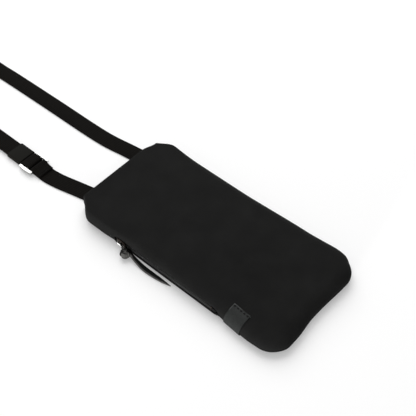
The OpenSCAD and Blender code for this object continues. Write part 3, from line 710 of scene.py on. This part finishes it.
def addLayer(name, node, finish, under, thick, front, cells, rows=(0.0, 1.0), hemmed=False, lips=False,
             wrinkle=None, reach=1.0):
    def place(a, b):
        row = rows[0] + (rows[1] - rows[0]) * (1 - b) / 2
        return layerPoint(a * reach, row, under, front, lips, hemmed, wrinkle)

    bm = sheetGrid(*cells, place)
    pointUp(bm, (0, 0, 1 if front else -1))
    obj = addPiece(name, bm, finish, "pouch", [node])
    addModifier(obj, "SOLIDIFY", thickness=thick * mm, offset=-1.0)
    return obj


# Thicknesses of the layers, their depths under the outer face, the share of the outline that they fill, and
# the cells of their grids
cloth = {
    "shell": 0.6, "pad": 0.95, "padDepth": 0.9, "frontPad": 0.97, "backPad": 0.94, "lining": 0.3,
    "liningDepth": 2.1, "inner": 0.98, "low": 0.985, "overlap": 0.2,
    "shellCells": (110, 150), "padCells": (60, 80), "liningCells": (80, 110), "facingCells": (90, 24),
}
facing = {
    "y": 84.5, "front": 98.9, "back": 102.2, "strapX": 28.4, "strapHalf": 9.5, "strapFade": 4.0,
    "sewn": 1.4, "sewnOn": (97.5, 4.2),
}


# The back facing is sewn down on the shell, and bulges over the two strap ends
def backFacingDepth(x, y):
    bulge = 1 - ease((abs(abs(x) - facing["strapX"]) - facing["strapHalf"]) / facing["strapFade"])
    return cloth["liningDepth"] - facing["sewn"] * step(y, facing["sewnOn"]) * (1 - bulge)


padRows = (layerRow(facing["y"]), cloth["low"])
liningRows = (layerRow(facing["y"] - cloth["overlap"]), cloth["low"])
frontRows = (layerRow(facing["front"]), layerRow(facing["y"]))
backRows = (layerRow(facing["back"]), layerRow(facing["y"]))
frontPanel = addLayer("frontPanel", "front_shell", outerCloth, 0.0, cloth["shell"], True,
                      cloth["shellCells"], hemmed=True, lips=True, wrinkle=cushionWrinkle)
backPanel = addLayer("backPanel", "back_shell", outerCloth, 0.0, cloth["shell"], False,
                     cloth["shellCells"], lips=True)
frontPadding = addLayer("frontPadding", "front_padding", foam, cloth["padDepth"], cloth["pad"], True,
                        cloth["padCells"], padRows, wrinkle=cushionWrinkle, reach=cloth["frontPad"])
backPadding = addLayer("backPadding", "back_padding", foam, cloth["padDepth"], cloth["pad"], False,
                       cloth["padCells"], padRows, reach=cloth["backPad"])
frontLining = addLayer("frontLining", "front_lining", liningCloth, cloth["liningDepth"],
                       cloth["lining"], True, cloth["liningCells"], liningRows, wrinkle=cushionWrinkle,
                       reach=cloth["inner"])
backLining = addLayer("backLining", "back_lining", liningCloth, cloth["liningDepth"],
                      cloth["lining"], False, cloth["liningCells"], liningRows, reach=cloth["inner"])
frontFacing = addLayer("frontFacing", "front_facing", outerCloth, cloth["liningDepth"],
                       cloth["lining"], True, cloth["facingCells"], frontRows, wrinkle=cushionWrinkle,
                       reach=cloth["inner"])
backFacing = addLayer("backFacing", "back_facing", outerCloth, backFacingDepth,
                      cloth["lining"], False, cloth["facingCells"], backRows, reach=cloth["inner"])
print("stage: panels, padding and linings")


# The sheet between the pockets, turned up behind the zip
divider = {
    "in": 6.0, "z": 2.5, "thick": 0.3, "wave": 0.12, "waveScales": (0.06, 0.05, 2.0), "turnX": -45.45,
    "bend": 1.5, "upright": 5.0, "rise": 6.3, "cells": (90, 110),
}


def dividerPoint(a, b):
    share = layerRow(facing["y"]) + (1 - layerRow(facing["y"])) * (1 - b) / 2
    if share <= grid["middle"]:
        y = halfL * (1 - share / grid["middle"])
        x, ring = upperX(y), abs(a)
    else:
        ring, (x, y) = lowPlace(a, (share - grid["middle"]) / (1 - grid["middle"]))
        y *= ring
    x *= ring * (1 - divider["in"] / halfW)
    x = x if a > 0 else -x
    y = y * (1 - divider["in"] / halfL) if y < 0 else y
    reach = divider["bend"] + divider["upright"]
    over = max(0.0, divider["turnX"] + reach - x) * slotOpen(-1, y)
    turned = max(0.0, over - divider["bend"])
    z = divider["z"] + divider["wave"] * unevenness(x, y, divider["waveScales"])
    z += turned * divider["rise"] / divider["upright"]
    if over > 0:
        x = max(x, divider["turnX"]) if over < reach else divider["turnX"]
    return Vector((x, y, z)), (x, y)


bm = sheetGrid(*divider["cells"], dividerPoint)
pointUp(bm, (0, 0, 1))
pocketSheet = addPiece("pocketDivider", bm, liningCloth, "pouch", ["pocket_divider"])
addModifier(pocketSheet, "SOLIDIFY", thickness=divider["thick"] * mm, offset=1.0)


# The zip in the left side
zipper = {
    "seam": 5.5, "faceX": -49.65, "tapeX": -48.45, "split": 2.0,
    "tapeThick": 0.45, "tapeWidth": 2.9, "tapeCorner": 0.2, "tapeLow": -43.35, "tapeTop": 58.35, "steps": 80,
    "low": -40.05, "pitch": 1.5, "phase": 0.25, "count": 61, "chain": 3.8,
    "tooth": 0.693, "tip": 0.61, "taper": 0.8, "toothRound": 0.16,  # the part of a tooth that locks
    "root": 0.9, "rootZ": 1.45, "rootThick": 0.62, "rootLong": 0.98, "rootIn": 0.3, "rootRound": 0.2,
}
zipStop = {
    "length": 1.5, "top": 55.05, "topHigh": 0.95, "topRound": 0.22, "lowRound": 0.25,
    "ridgeThick": 0.5, "ridgeLong": 0.4, "ridgeHigh": 3.2, "ridgeIn": 0.25, "ridgeRound": 0.1,
}


# A block with rounded edges: taper is the side that narrows and its shares of the block's x and y
def block(size, centre, bevel, segments, taper=None):
    bm = bmesh.new()
    bmesh.ops.create_cube(bm, size=1)
    bmesh.ops.scale(bm, vec=size, verts=bm.verts)
    if taper:
        ends = [v for v in bm.verts if v.co.z * taper[0] > 0]
        bmesh.ops.scale(bm, vec=(taper[1], taper[2], 1), verts=ends)
    bmesh.ops.bevel(bm, geom=bm.edges[:], offset=bevel, segments=segments, profile=0.5, affect="EDGES",
                    material=-1)
    bmesh.ops.translate(bm, vec=centre, verts=bm.verts)
    return bm


def addZipSide(name, way):
    z = zipper["seam"] + way * (zipper["split"] / 2 + zipper["tapeWidth"] / 2)
    x = zipper["tapeX"] + zipper["tapeThick"] / 2
    span = zipper["tapeTop"] - zipper["tapeLow"]
    line = [(x, zipper["tapeLow"] + span * i / zipper["steps"], z) for i in range(zipper["steps"] + 1)]
    section = roundSection(zipper["tapeWidth"], zipper["tapeThick"], zipper["tapeCorner"], 3)
    tape = sweep(line, [(0, 0, 1)] * len(line), section)
    addPiece("zipTape" + name, tape, zipCloth, "pouch", ["zip_tape_" + name.lower()])
    height, thick = zipper["chain"] / 2 + zipper["tip"], zipper["tapeX"] - zipper["faceX"]
    toothX, toothZ = zipper["faceX"] + thick / 2, zipper["seam"] + way * (zipper["chain"] / 2 - height / 2)
    rootX, rootZ = zipper["tapeX"] - thick * zipper["rootIn"], zipper["seam"] + way * zipper["rootZ"]
    toothSize = (thick, zipper["tooth"], height)
    rootSize = (thick * zipper["rootThick"], zipper["pitch"] * zipper["rootLong"], zipper["root"])
    taper = (-way, zipper["taper"], zipper["taper"])
    teeth = []
    for i in range(zipper["count"]):
        y = zipper["low"] + (0 if way > 0 else zipper["pitch"] / 2) + (i + zipper["phase"]) * zipper["pitch"]
        teeth.append(block(toothSize, (toothX, y, toothZ), zipper["toothRound"], 2, taper))
        teeth.append(block(rootSize, (rootX, y, rootZ), zipper["rootRound"], 1))
    node = "zip_teeth_" + name.lower()
    addPiece("zipTeeth" + name, joined(teeth), zipPlastic, "pouch", [node])


def addZipStops():
    thick, long = zipper["tapeX"] - zipper["faceX"], zipStop["length"]
    x = (zipper["faceX"] + zipper["tapeX"]) / 2
    topY, lowY = zipStop["top"] + long / 2, zipper["low"] - long / 2
    made = []
    for way in (-1, 1):
        centre = (x, topY, zipper["seam"] + way * zipper["rootZ"])
        made.append(block((thick, long, zipStop["topHigh"]), centre, zipStop["topRound"], 3))
    addPiece("zipTopStops", joined(made), zipMetal, "pouch", ["zip_top_stops"])
    ridge = (thick * zipStop["ridgeThick"], long * zipStop["ridgeLong"], zipStop["ridgeHigh"])
    ridgeX = zipper["faceX"] + zipStop["ridgeIn"]
    made = [block((thick, long, zipper["chain"]), (x, lowY, zipper["seam"]), zipStop["lowRound"], 3),
            block(ridge, (ridgeX, lowY, zipper["seam"]), zipStop["ridgeRound"], 2)]
    addPiece("zipBottomStop", joined(made), zipMetal, "pouch", ["zip_bottom_stop"])


addZipSide("Front", 1)
addZipSide("Back", -1)
addZipStops()


# A rigid piece taken over from its solid, with its loose triangles merged and its edges rounded: edges that
# turn by more than angle degrees get a round of this width
def refined(node, name, finish, body, width, segments=3, angle=30):
    bm = bmesh.new()
    bm.from_mesh(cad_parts[node].data)
    bmesh.ops.scale(bm, vec=(1 / mm, 1 / mm, 1 / mm), verts=bm.verts)
    bmesh.ops.remove_doubles(bm, verts=bm.verts, dist=1e-3)
    bmesh.ops.dissolve_limit(bm, angle_limit=radians(1), verts=bm.verts, edges=bm.edges)
    obj = addPiece(name, bm, finish, body, [node])
    addModifier(obj, "BEVEL", width=width * mm, segments=segments, limit_method="ANGLE",
                angle_limit=radians(angle), harden_normals=True)
    return obj


refined("zip_slider", "zipSlider", zipMetal, "zip_runner", 0.2)
refined("zip_slider_bail", "zipSliderBail", bailMetal, "zip_runner", 0.18)


# A stitch lies on the cloth and dips into it at both ends
thread = {"points": 7, "dip": 1.3, "flat": 0.85, "sides": 8, "sunk": 0.02}


def stitchAt(place, along, up, length, thick, high=thread["sunk"]):
    along, up = Vector(along).normalized(), Vector(up).normalized()
    points = []
    for i in range(thread["points"]):
        t = 2 * i / (thread["points"] - 1) - 1
        points.append(Vector(place) + along * t * length / 2 + up * (high - thick * thread["dip"] * t ** 4))
    section = ovalSection(thick, thick * thread["flat"], thread["sides"])
    return sweep(points, [along.cross(up)] * len(points), section)


# Topstitching above and below the zip
topstitch = {
    "first": -46.0, "last": 61.0, "pitch": 3.3, "frontTurn": 0.24, "backTurn": 0.432, "length": 2.3,
    "thread": 0.42,
}


def sideFace(y, turn, front, out=0.0):
    roll = rollAt(y) if front else pouch["backRoll"]
    gap = pouch["slot"] / 2 * slotOpen(-1, y) + pouch["lip"] + pouch["seamGap"]
    inset = roll * (1 - cos(turn)) - out * cos(turn)
    x = -sideX(y) * (1 - inset / halfW)
    if front:
        foot = pouch["seam"] + gap
        z = foot + (topAt(y) - foot) * sin(turn) + out * sin(turn)
    else:
        foot = pouch["seam"] - gap
        z = foot - foot * sin(turn) - out * sin(turn)
    return Vector((x + swellX(x, y), y, z))


def addTopstitch(name, front, turn):
    made = []
    count = int((topstitch["last"] - topstitch["first"]) / topstitch["pitch"])
    for i in range(count):
        y = topstitch["first"] + i * topstitch["pitch"]
        here, ahead = sideFace(y, turn, front), sideFace(y + 1, turn, front)
        out = sideFace(y, turn, front, 1.0) - here
        made.append(stitchAt(here, ahead - here, out, topstitch["length"], topstitch["thread"]))
    addPiece(name, joined(made), darkThread, "pouch", [])


addTopstitch("zipTopstitchFront", True, topstitch["frontTurn"])
addTopstitch("zipTopstitchBack", False, topstitch["backTurn"])
print("stage: zip")


# The folded leather label
label = {
    "y": -54.2, "length": 15.8, "reach": 12.4, "thick": 0.8, "lift": 0.12, "round": 0.28,
    "back": 52, "backShare": 0.22, "spread": 1.6, "across": 20, "along": 18, "cells": (48, 30),
    "stitches": 5, "stitchIn": 1.7, "stitch": 1.6, "thread": 1.05, "threadHigh": 0.14,
    "rimHighlight": 0.6, "rimHighlightFrom": -45.0,  # painted highlight on the label's rim: a paler band at the sewn end and along the upper side
}


# A point on the rounded left side: depth is how far in from the side, out is how far under the outer face
def sidePoint(y, out, depth, front):
    q = y / (1 - depth / halfL)
    roll = rollAt(q) if front else pouch["backRoll"]
    c = max(0.0, 1 - (depth - out) / (roll - out))
    s = sqrt(1 - c * c)
    x = -sideX(q) * (1 - depth / halfW)
    x += swellX(x, q)
    if front:
        z = pouch["seam"] + (topAt(q) - out - pouch["seam"]) * s + cushionWrinkle(x, y) * s * s
    else:
        z = pouch["seam"] - (pouch["seam"] - out) * s
    return Vector((x, y, z))


def labelPoint(a, b, out):
    y = label["y"] - label["length"] * (1 - b) / 2
    t, back = (a + 1) / 2, label["backShare"]
    if t < back:
        turn = radians(label["back"]) * (back - t) / back
        return sidePoint(y, out, out + (pouch["backRoll"] - out) * (1 - cos(turn)), False)
    share = ((t - back) / (1 - back)) ** label["spread"]
    return sidePoint(y, out, out + (label["reach"] - out) * share, True)


def labelPlace(a, b):
    return labelPoint(a, b, -label["lift"]), (a * label["across"] / 2, b * label["along"] / 2)


bm = sheetGrid(*label["cells"], labelPlace)
pointUp(bm, (-1, 0, 1))
leatherLabel = addPiece("leatherLabel", bm, labelLeather, "pouch", ["leather_label"])
addModifier(leatherLabel, "SOLIDIFY", thickness=label["thick"] * mm, offset=1.0)
addModifier(leatherLabel, "BEVEL", width=label["round"] * mm, segments=3, limit_method="ANGLE",
            angle_limit=radians(50))
leatherLabel.data.materials.append(labelRimHighlight.material)
sewnEnd = max(face.center.x for face in leatherLabel.data.polygons)
rimHighlightY, rimHighlightX = (label["y"] - label["rimHighlight"]) * mm, label["rimHighlightFrom"] * mm
# Faces at the sewn end and along the upper side get the paler slot: painted highlight on the label's rim
for face in leatherLabel.data.polygons:
    atEnd = face.center.x > sewnEnd - label["rimHighlight"] * mm
    atSide = face.center.y > rimHighlightY and face.center.x > rimHighlightX
    face.material_index = 1 if atEnd or atSide else 0
stitches, high = [], label["threadHigh"]
for i in range(label["stitches"]):
    y = label["y"] - (i + 0.5) * label["length"] / label["stitches"]
    here = sidePoint(y, -label["lift"] - label["thick"], label["reach"] - label["stitchIn"], True)
    stitches.append(stitchAt(here, (0, 1, 0), (0, 0, 1), label["stitch"], label["thread"], high))
addPiece("labelStitches", joined(stitches), labelThread, "pouch", ["label_stitches"])


# The leather pull: a lace through the bail, its knot, and the tongue on the floor
pull = {
    "x": -51.4, "y": 50.5, "z": 5.5, "turn": radians(21.4), "laceWide": 1.0, "laceThick": 0.94,
    "loop": [(-8.2, 0.9, -0.7), (-6.5, 1.25, -0.45), (-4, 1.4, -0.15), (-1.2, 1.4, 0), (-0.25, 1.15, 0),
             (0, 0.5, 0)],
    "knot": (-54.70, 42.07, 4.25), "around": 2.35, "swing": 1.1, "rise": 1.95, "steps": 90,
    "lean": (radians(35), radians(20)), "bandWide": 3.5, "bandThick": 1.3, "bandRound": 0.22, "core": 3.4,
    "tongue": 42.0, "wide": 4.6, "thick": 1.4, "low": 0.05, "high": 3.6, "fallShare": 0.5,
    "thin": 0.35, "thinOn": (0.75, 0.25), "sides": 24, "crown": 0.12, "square": 0.6,
    # The tongue's line in shares of its length, with its width there
    "leaf": [(0.062, -0.02, 0.6), (0.034, -0.25, 0.84), (0.022, -0.53, 1), (0.038, -0.86, 0.7),
             (0.06, -1.07, 0.1)],
}


def laceLoop():
    local = [(0, y, z + drop) for y, z, drop in pull["loop"]]
    local += [(0, y, drop - z) for y, z, drop in pull["loop"][::-1]]
    turn = Matrix.Rotation(-pull["turn"], 3, "Z")
    points = [turn @ Vector(p) + Vector((pull["x"], pull["y"], pull["z"])) for p in spline(local, 5)]
    side = turn @ Vector((1, 0, 0))
    return sweep(points, [side] * len(points), ovalSection(pull["laceWide"], pull["laceThick"], 10))


def knotLace():
    steps, centre = pull["steps"], Vector(pull["knot"])
    points, across = [], []
    lean = Matrix.Rotation(pull["lean"][0], 3, "X") @ Matrix.Rotation(pull["lean"][1], 3, "Z")
    for i in range(steps):
        t = 2 * pi * i / steps
        r = pull["around"] + pull["swing"] * cos(3 * t)
        points.append(lean @ Vector((r * cos(2 * t), r * sin(2 * t), pull["rise"] * sin(3 * t))))
    for i in range(steps):
        forward = points[(i + 1) % steps] - points[i - 1]
        across.append(forward.cross(points[i]))
    section = roundSection(pull["bandWide"], pull["bandThick"], pull["bandRound"], 1)
    return sweep([centre + p for p in points], across, section, closed=True)


def knotCore():
    bm = bmesh.new()
    bmesh.ops.create_icosphere(bm, subdivisions=3, radius=pull["core"])
    bmesh.ops.translate(bm, vec=pull["knot"], verts=bm.verts)
    return bm


def tongueLeaf():
    knotX, knotY, _ = pull["knot"]
    long, wide, thick = pull["tongue"], pull["wide"], pull["thick"]
    line = spline([(knotX + long * a, knotY + long * b, wide * share) for a, b, share in pull["leaf"]], 12)
    points, sizes = [], []
    for i, (x, y, w) in enumerate(line):
        t = i / (len(line) - 1)
        points.append((x, y, pull["low"] + thick / 2 + pull["high"] * ease(1 - t / pull["fallShare"])))
        sizes.append((w, thick * (1 - pull["thin"] * step(t, pull["thinOn"]))))
    section = []
    for i in range(pull["sides"]):
        angle = 2 * pi * i / pull["sides"]
        flat = 0.5 * sin(angle) * (1 - pull["crown"] * cos(angle) ** 2)
        section.append((0.5 * cos(angle), (1 if flat > 0 else -1) * abs(2 * flat) ** pull["square"] / 2))
    return sweep(points, [(1, 0, 0)] * len(points), section, sizes=sizes)


pullMesh = joined([laceLoop(), knotLace(), knotCore(), tongueLeaf()])
leatherPull = addPiece("leatherPull", pullMesh, pullLeather, "pull", ["leather_pull"])
leatherPull.data.materials.append(rawEdgeAndHighlight.material)
# Paler faces: one long edge of the tongue, partly the leather's cut edge and partly painted highlight on the
# side facing the low lamp, and the knot's bands where they face this way, which carry only painted highlight
edgeAndHighlight = {"near": 6.0, "edge": -0.12, "flat": 0.99, "way": (-0.6, -0.62, 0.5), "facing": 0.6}
for face in leatherPull.data.polygons:
    onTongue = face.center.y < (pull["knot"][1] - edgeAndHighlight["near"]) * mm
    onKnot = (face.center - Vector(pull["knot"]) * mm).length < edgeAndHighlight["near"] * mm
    paleEdge = onTongue and face.normal.x < edgeAndHighlight["edge"] and face.normal.z < edgeAndHighlight["flat"]
    knotHighlight = onKnot and face.normal.dot(edgeAndHighlight["way"]) > edgeAndHighlight["facing"]
    face.material_index = 1 if paleEdge or knotHighlight else 0
print("stage: label and pull")


# The strap: its route, in the order of its length, and what it goes through
strap = {
    "width": 15.0, "thick": 1.2, "corner": 0.5, "rest": 0.06, "layerGap": 0.1,
    "anchorX": 28.4, "anchorIn": 0.3, "mouthOut": 0.05, "anchorLift": 0.75,  # the ends sewn in at the mouth
    "coilX": -40.0, "coilY": 350.0, "coilR": 16.0, "pitch": 11.2, "turns": 2, "gap": 5.6, "lift": 0.9,
    "lead": 1.03, "far": 247.5,
    "weaveX": -37.2, "sliderY": 166.8, "barPitch": 5.5, "bar": 2.2, "barZ": 2.85,  # at the strap slider
    "underFirst": 1.2, "underSecond": 0.1, "lowZ": 1.55, "tail": 69.5, "tailZ": 2.85, "tailRise": 1.5,
    "keeperY": 175.6, "keeper": 15.5, "keeperThick": 0.8, "keeperWay": 35.0, "keeperIn": 0.3,
    "keeperOut": 0.1, "keeperSide": 0.6, "keeperRoom": 2.8, "keeperRound": 1.0,
    "tieThick": 0.8, "tieRound": 1.2,
    # Shares of the room that a run crosses, and how far it has turned onto its edge there, in degrees
    "right": [(0.985, 0.03), (0.94, 0.07), (0.815, 0.19), (0.79, 0.45), (0.745, 0.71), (0.62, 0.79),
              (0.42, 0.86)],
    "rightTurns": [0, 0, 0, 0, 0, 25, 66],
    "left": [(0.094, 0.86), (0.276, 0.79), (0.515, 0.72), (0.75, 0.65), (0.881, 0.6), (0.96, 0.56)],
    "leftTurns": [78, 50, 22, 6, 0, 0],
    "short": [(0.96, 0.07), (0.62, 0.28), (0.2, 0.52), (0, 0.7), (0, 0.78)], "shortFar": 64.3,
    "fold": 9.5, "foldShare": 0.6, "foldDip": 0.05, "routeSteps": 6,
}
strandOut = strap["coilR"] + strap["pitch"] * strap["turns"]
wrapR = strap["bar"] / 2 + strap["layerGap"] + strap["thick"] / 2
wrapLow = strap["barZ"] - wrapR
webbingSection = roundSection(strap["width"], strap["thick"], strap["corner"], 3)


# A route over the floor: x, y, turn from flat to standing on edge, lift off the floor
def floorRoute(points):
    places, across, route = [], [], []
    for x, y, turn, lift in spline(points, strap["routeSteps"]):
        route.append((x, y, radians(min(90, max(0, turn))), max(0, lift)))
    for i, (x, y, turn, lift) in enumerate(route):
        a, b = route[max(i - 1, 0)], route[min(i + 1, len(route) - 1)]
        t = Vector((b[0] - a[0], b[1] - a[1])).normalized()
        z = strap["rest"] + strap["width"] / 2 * sin(turn) + strap["thick"] / 2 * cos(turn) + lift
        places.append(Vector((x, y, z)))
        across.append(Vector((t.y * cos(turn), -t.x * cos(turn), sin(turn))))
    return places, across


def coilRoute(steps=36, approach=6):
    x, y, turns, gap = strap["coilX"], strap["coilY"], strap["turns"] * steps, strap["gap"]

    def spiral(r, i):
        angle, q = -2 * pi * i / steps, r + strap["pitch"] * i / steps
        return (x + q * cos(angle), y + q * sin(angle))

    loop = [pi * (1 - k / 8) for k in range(1, 8)]
    flat = [(x + strandOut, y - strap["width"] * (1 - k / approach)) for k in range(approach)]
    flat += [spiral(strap["coilR"], i) for i in range(turns, -1, -1)]
    flat += [(x + strap["coilR"] + gap / 2 * (1 + cos(a)), y + gap / 2 * sin(a)) for a in loop]
    flat += [spiral(strap["coilR"] + gap, i) for i in range(turns + 1)]
    flat += [(x + strandOut + gap, y - strap["width"] * (k + 1) / approach) for k in range(approach)]
    z = strap["rest"] + strap["lift"] + strap["width"] / 2
    return [Vector((px, py, z)) for px, py in flat]


def barY(i):
    return strap["sliderY"] + i * strap["barPitch"]


def wrapPoint(i, angle):
    turn = radians(angle)
    return Vector((strap["weaveX"], barY(i) + wrapR * cos(turn), strap["barZ"] + wrapR * sin(turn)))


def weavePoints():
    start, low, high = strap["keeperY"], strap["lowZ"], strap["tailZ"]
    end = start + strap["keeper"] + strap["keeperWay"] + strap["keeperThick"]
    tailY = barY(1) + strap["tail"]
    tailLow = strap["rest"] + strap["thick"] * strap["tailRise"] + strap["layerGap"]

    def at(y, z):
        return Vector((strap["weaveX"], y, z))

    points = [at(end, low), at(start + strap["keeperIn"], low)]
    points += [at(barY(1) + strap["underFirst"], wrapLow), at(barY(0) + strap["underSecond"], wrapLow)]
    points += [wrapPoint(0, -90 - 15 * i) for i in range(13)]
    points += [wrapPoint(1, 90 - 8 * i) for i in range(5)]
    points += [at(start - strap["keeperOut"], high), at(start + strap["keeperIn"], high)]
    points += [at(start + (end - start) * k / 10, high) for k in range(1, 10)]
    points += [at(end + (tailY - end) * k / 6, high + (tailLow - high) * ease(k / 6)) for k in range(7)]
    return points


# A strap end sewn in at the mouth, and the rest of its route from shares of the room that it crosses
def anchored(x):
    inside, mouth = facing["y"] + strap["anchorIn"], halfL + strap["mouthOut"]
    return [(x, inside, 0, strap["anchorLift"]), (x, mouth, 0, strap["anchorLift"])]


def farRoute(x, across, shares, turns):
    return [(x + across * a, halfL + strap["far"] * b, turn, 0) for (a, b), turn in zip(shares, turns)]


leadY, coilY = strap["coilY"] - strap["width"] * strap["lead"], strap["coilY"] - strap["width"]
leftStart = strap["coilX"] + strandOut
coilEnd = leftStart + strap["gap"]
right = anchored(strap["anchorX"]) + farRoute(0, strap["anchorX"], strap["right"], strap["rightTurns"])
right += [(coilEnd, leadY, 90, strap["lift"]), (coilEnd, coilY, 90, strap["lift"])]
left = [(leftStart, coilY, 90, strap["lift"]), (leftStart, leadY, 90, strap["lift"])]
left += farRoute(leftStart, strap["weaveX"] - leftStart, strap["left"], strap["leftTurns"])
rightPlaces, rightAcross = floorRoute(right)
leftPlaces, leftAcross = floorRoute(left)
coil = coilRoute()[::-1]
weave = weavePoints()
strapPlaces = rightPlaces[:-1] + coil + leftPlaces[1:] + weave
strapAcross = rightAcross[:-1] + [Vector((0, 0, 1))] * len(coil) + leftAcross[1:]
strapAcross += [Vector((-1, 0, 0))] * len(weave)
longStrap = addPiece("longStrap", sweep(strapPlaces, strapAcross, webbingSection), strapWebbing, "pouch",
                     ["strap_run_right", "strap_coil", "strap_run_left"])

# The short strap: from the mouth, under the strap slider, round its first bar and back to its stitches
shortX, nearY = strap["weaveX"], barY(-1)
spanX = shortX + strap["anchorX"]
short = anchored(-strap["anchorX"])
short += [(shortX - spanX * a, halfL + strap["shortFar"] * b, 0, 0) for a, b in strap["short"]]
shortPlaces, shortAcross = floorRoute(short)
foldY, flatZ = nearY - strap["fold"] * strap["foldShare"], strap["rest"] + strap["thick"] / 2
rise = strap["thick"] + strap["layerGap"]
fold = [Vector((shortX, foldY, flatZ + strap["thick"] / 8))]
fold.append(Vector((shortX, nearY - wrapR, wrapLow - strap["foldDip"])))
fold += [wrapPoint(-1, angle) for angle in [*range(-90, 91, 20), 103, 115]]
fold.append(Vector((shortX, foldY, flatZ + strap["thick"] / 3 + rise)))
fold.append(Vector((shortX, nearY - strap["fold"], flatZ + strap["layerGap"] + rise)))
shortMesh = sweep(shortPlaces + fold, shortAcross + [Vector((1, 0, 0))] * len(fold), webbingSection)
shortStrap = addPiece("shortStrap", shortMesh, strapWebbing, "pouch", ["short_strap"])
tack = {"rows": (1.2, 3.4), "count": 9, "pitch": 1.45, "slant": 0.5, "length": 1.7, "thread": 0.42, "z": 0.32}
tackStitches, tackZ = [], strap["rest"] + strap["thick"] * 2 + tack["z"]
for row in tack["rows"]:
    for i in range(tack["count"]):
        x = shortX + (i - tack["count"] // 2) * tack["pitch"]
        along = (1, tack["slant"] if i % 2 else -tack["slant"], 0)
        place = (x, nearY - strap["fold"] + row, tackZ)
        tackStitches.append(stitchAt(place, along, (0, 0, 1), tack["length"], tack["thread"]))
shortStitches = addPiece("shortStrapStitches", joined(tackStitches), darkThread, "pouch",
                         ["short_strap_stitches"])
anchor = {"rows": (5.4, 13.5), "count": 7, "pitch": 1.9, "length": 1.5, "thread": 0.45, "z": 2.42}
anchorStitches = []
for way in (-1, 1):
    for row in anchor["rows"]:
        for i in range(anchor["count"]):
            x = way * strap["anchorX"] + (i - anchor["count"] // 2) * anchor["pitch"]
            place = (x, facing["y"] + row, anchor["z"])
            anchorStitches.append(stitchAt(place, (1, 0, 0), (0, 0, 1), anchor["length"], anchor["thread"]))
addPiece("anchorStitches", joined(anchorStitches), darkThread, "pouch", ["anchor_stitches"])
strapSlider = refined("strap_slider", "strapSlider", brightMetal, "pouch", 0.45, 4, 40)


# A band that closes round the strap: its middle line in X and Z, its width along Y
def closedBand(x, y, low, width, height, thick, length, corner, longest=1.2, edge=0.42):
    middle = roundSection(width - thick, height - thick, corner, 6)
    line = [(x + px, low + height / 2 + pz) for px, pz in middle]
    dense = []
    for a, b in zip(line, line[1:] + line[:1]):
        parts = max(1, int(hypot(b[0] - a[0], b[1] - a[1]) / longest))
        dense += [(a[0] + (b[0] - a[0]) * k / parts, a[1] + (b[1] - a[1]) * k / parts) for k in range(parts)]
    section = roundSection(length, thick, thick * edge, 3)
    return sweep([(px, y, pz) for px, pz in dense], [(0, 1, 0)] * len(dense), section, closed=True)


keeperWide = strap["width"] + strap["keeperSide"] + 2 * strap["keeperThick"]
keeperHigh = 2 * strap["keeperThick"] + strap["keeperRoom"]
keeperMesh = closedBand(strap["weaveX"], strap["keeperY"] + strap["keeper"] / 2, strap["rest"], keeperWide,
                        keeperHigh, strap["keeperThick"], strap["keeper"], strap["keeperRound"])
strapKeeper = addPiece("strapKeeper", keeperMesh, keeperBand, "keeper", ["strap_keeper"])
tieLow, tieTop = [[v / mm for v in corner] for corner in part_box("strap_tie")]
tieWide, tieLong, tieHigh = [top - low for low, top in zip(tieLow, tieTop)]
tieMesh = closedBand((tieLow[0] + tieTop[0]) / 2, (tieLow[1] + tieTop[1]) / 2, tieLow[2], tieWide, tieHigh,
                     strap["tieThick"], tieLong, strap["tieRound"])
strapTie = addPiece("strapTie", tieMesh, keeperBand, "pouch", ["strap_tie"])
length = sum((b - a).length for a, b in zip(strapPlaces, strapPlaces[1:])) * mm
[tuple(p * mm) for p in strapPlaces]
print("stage: strap", round(length, 4))

print("stage: done")
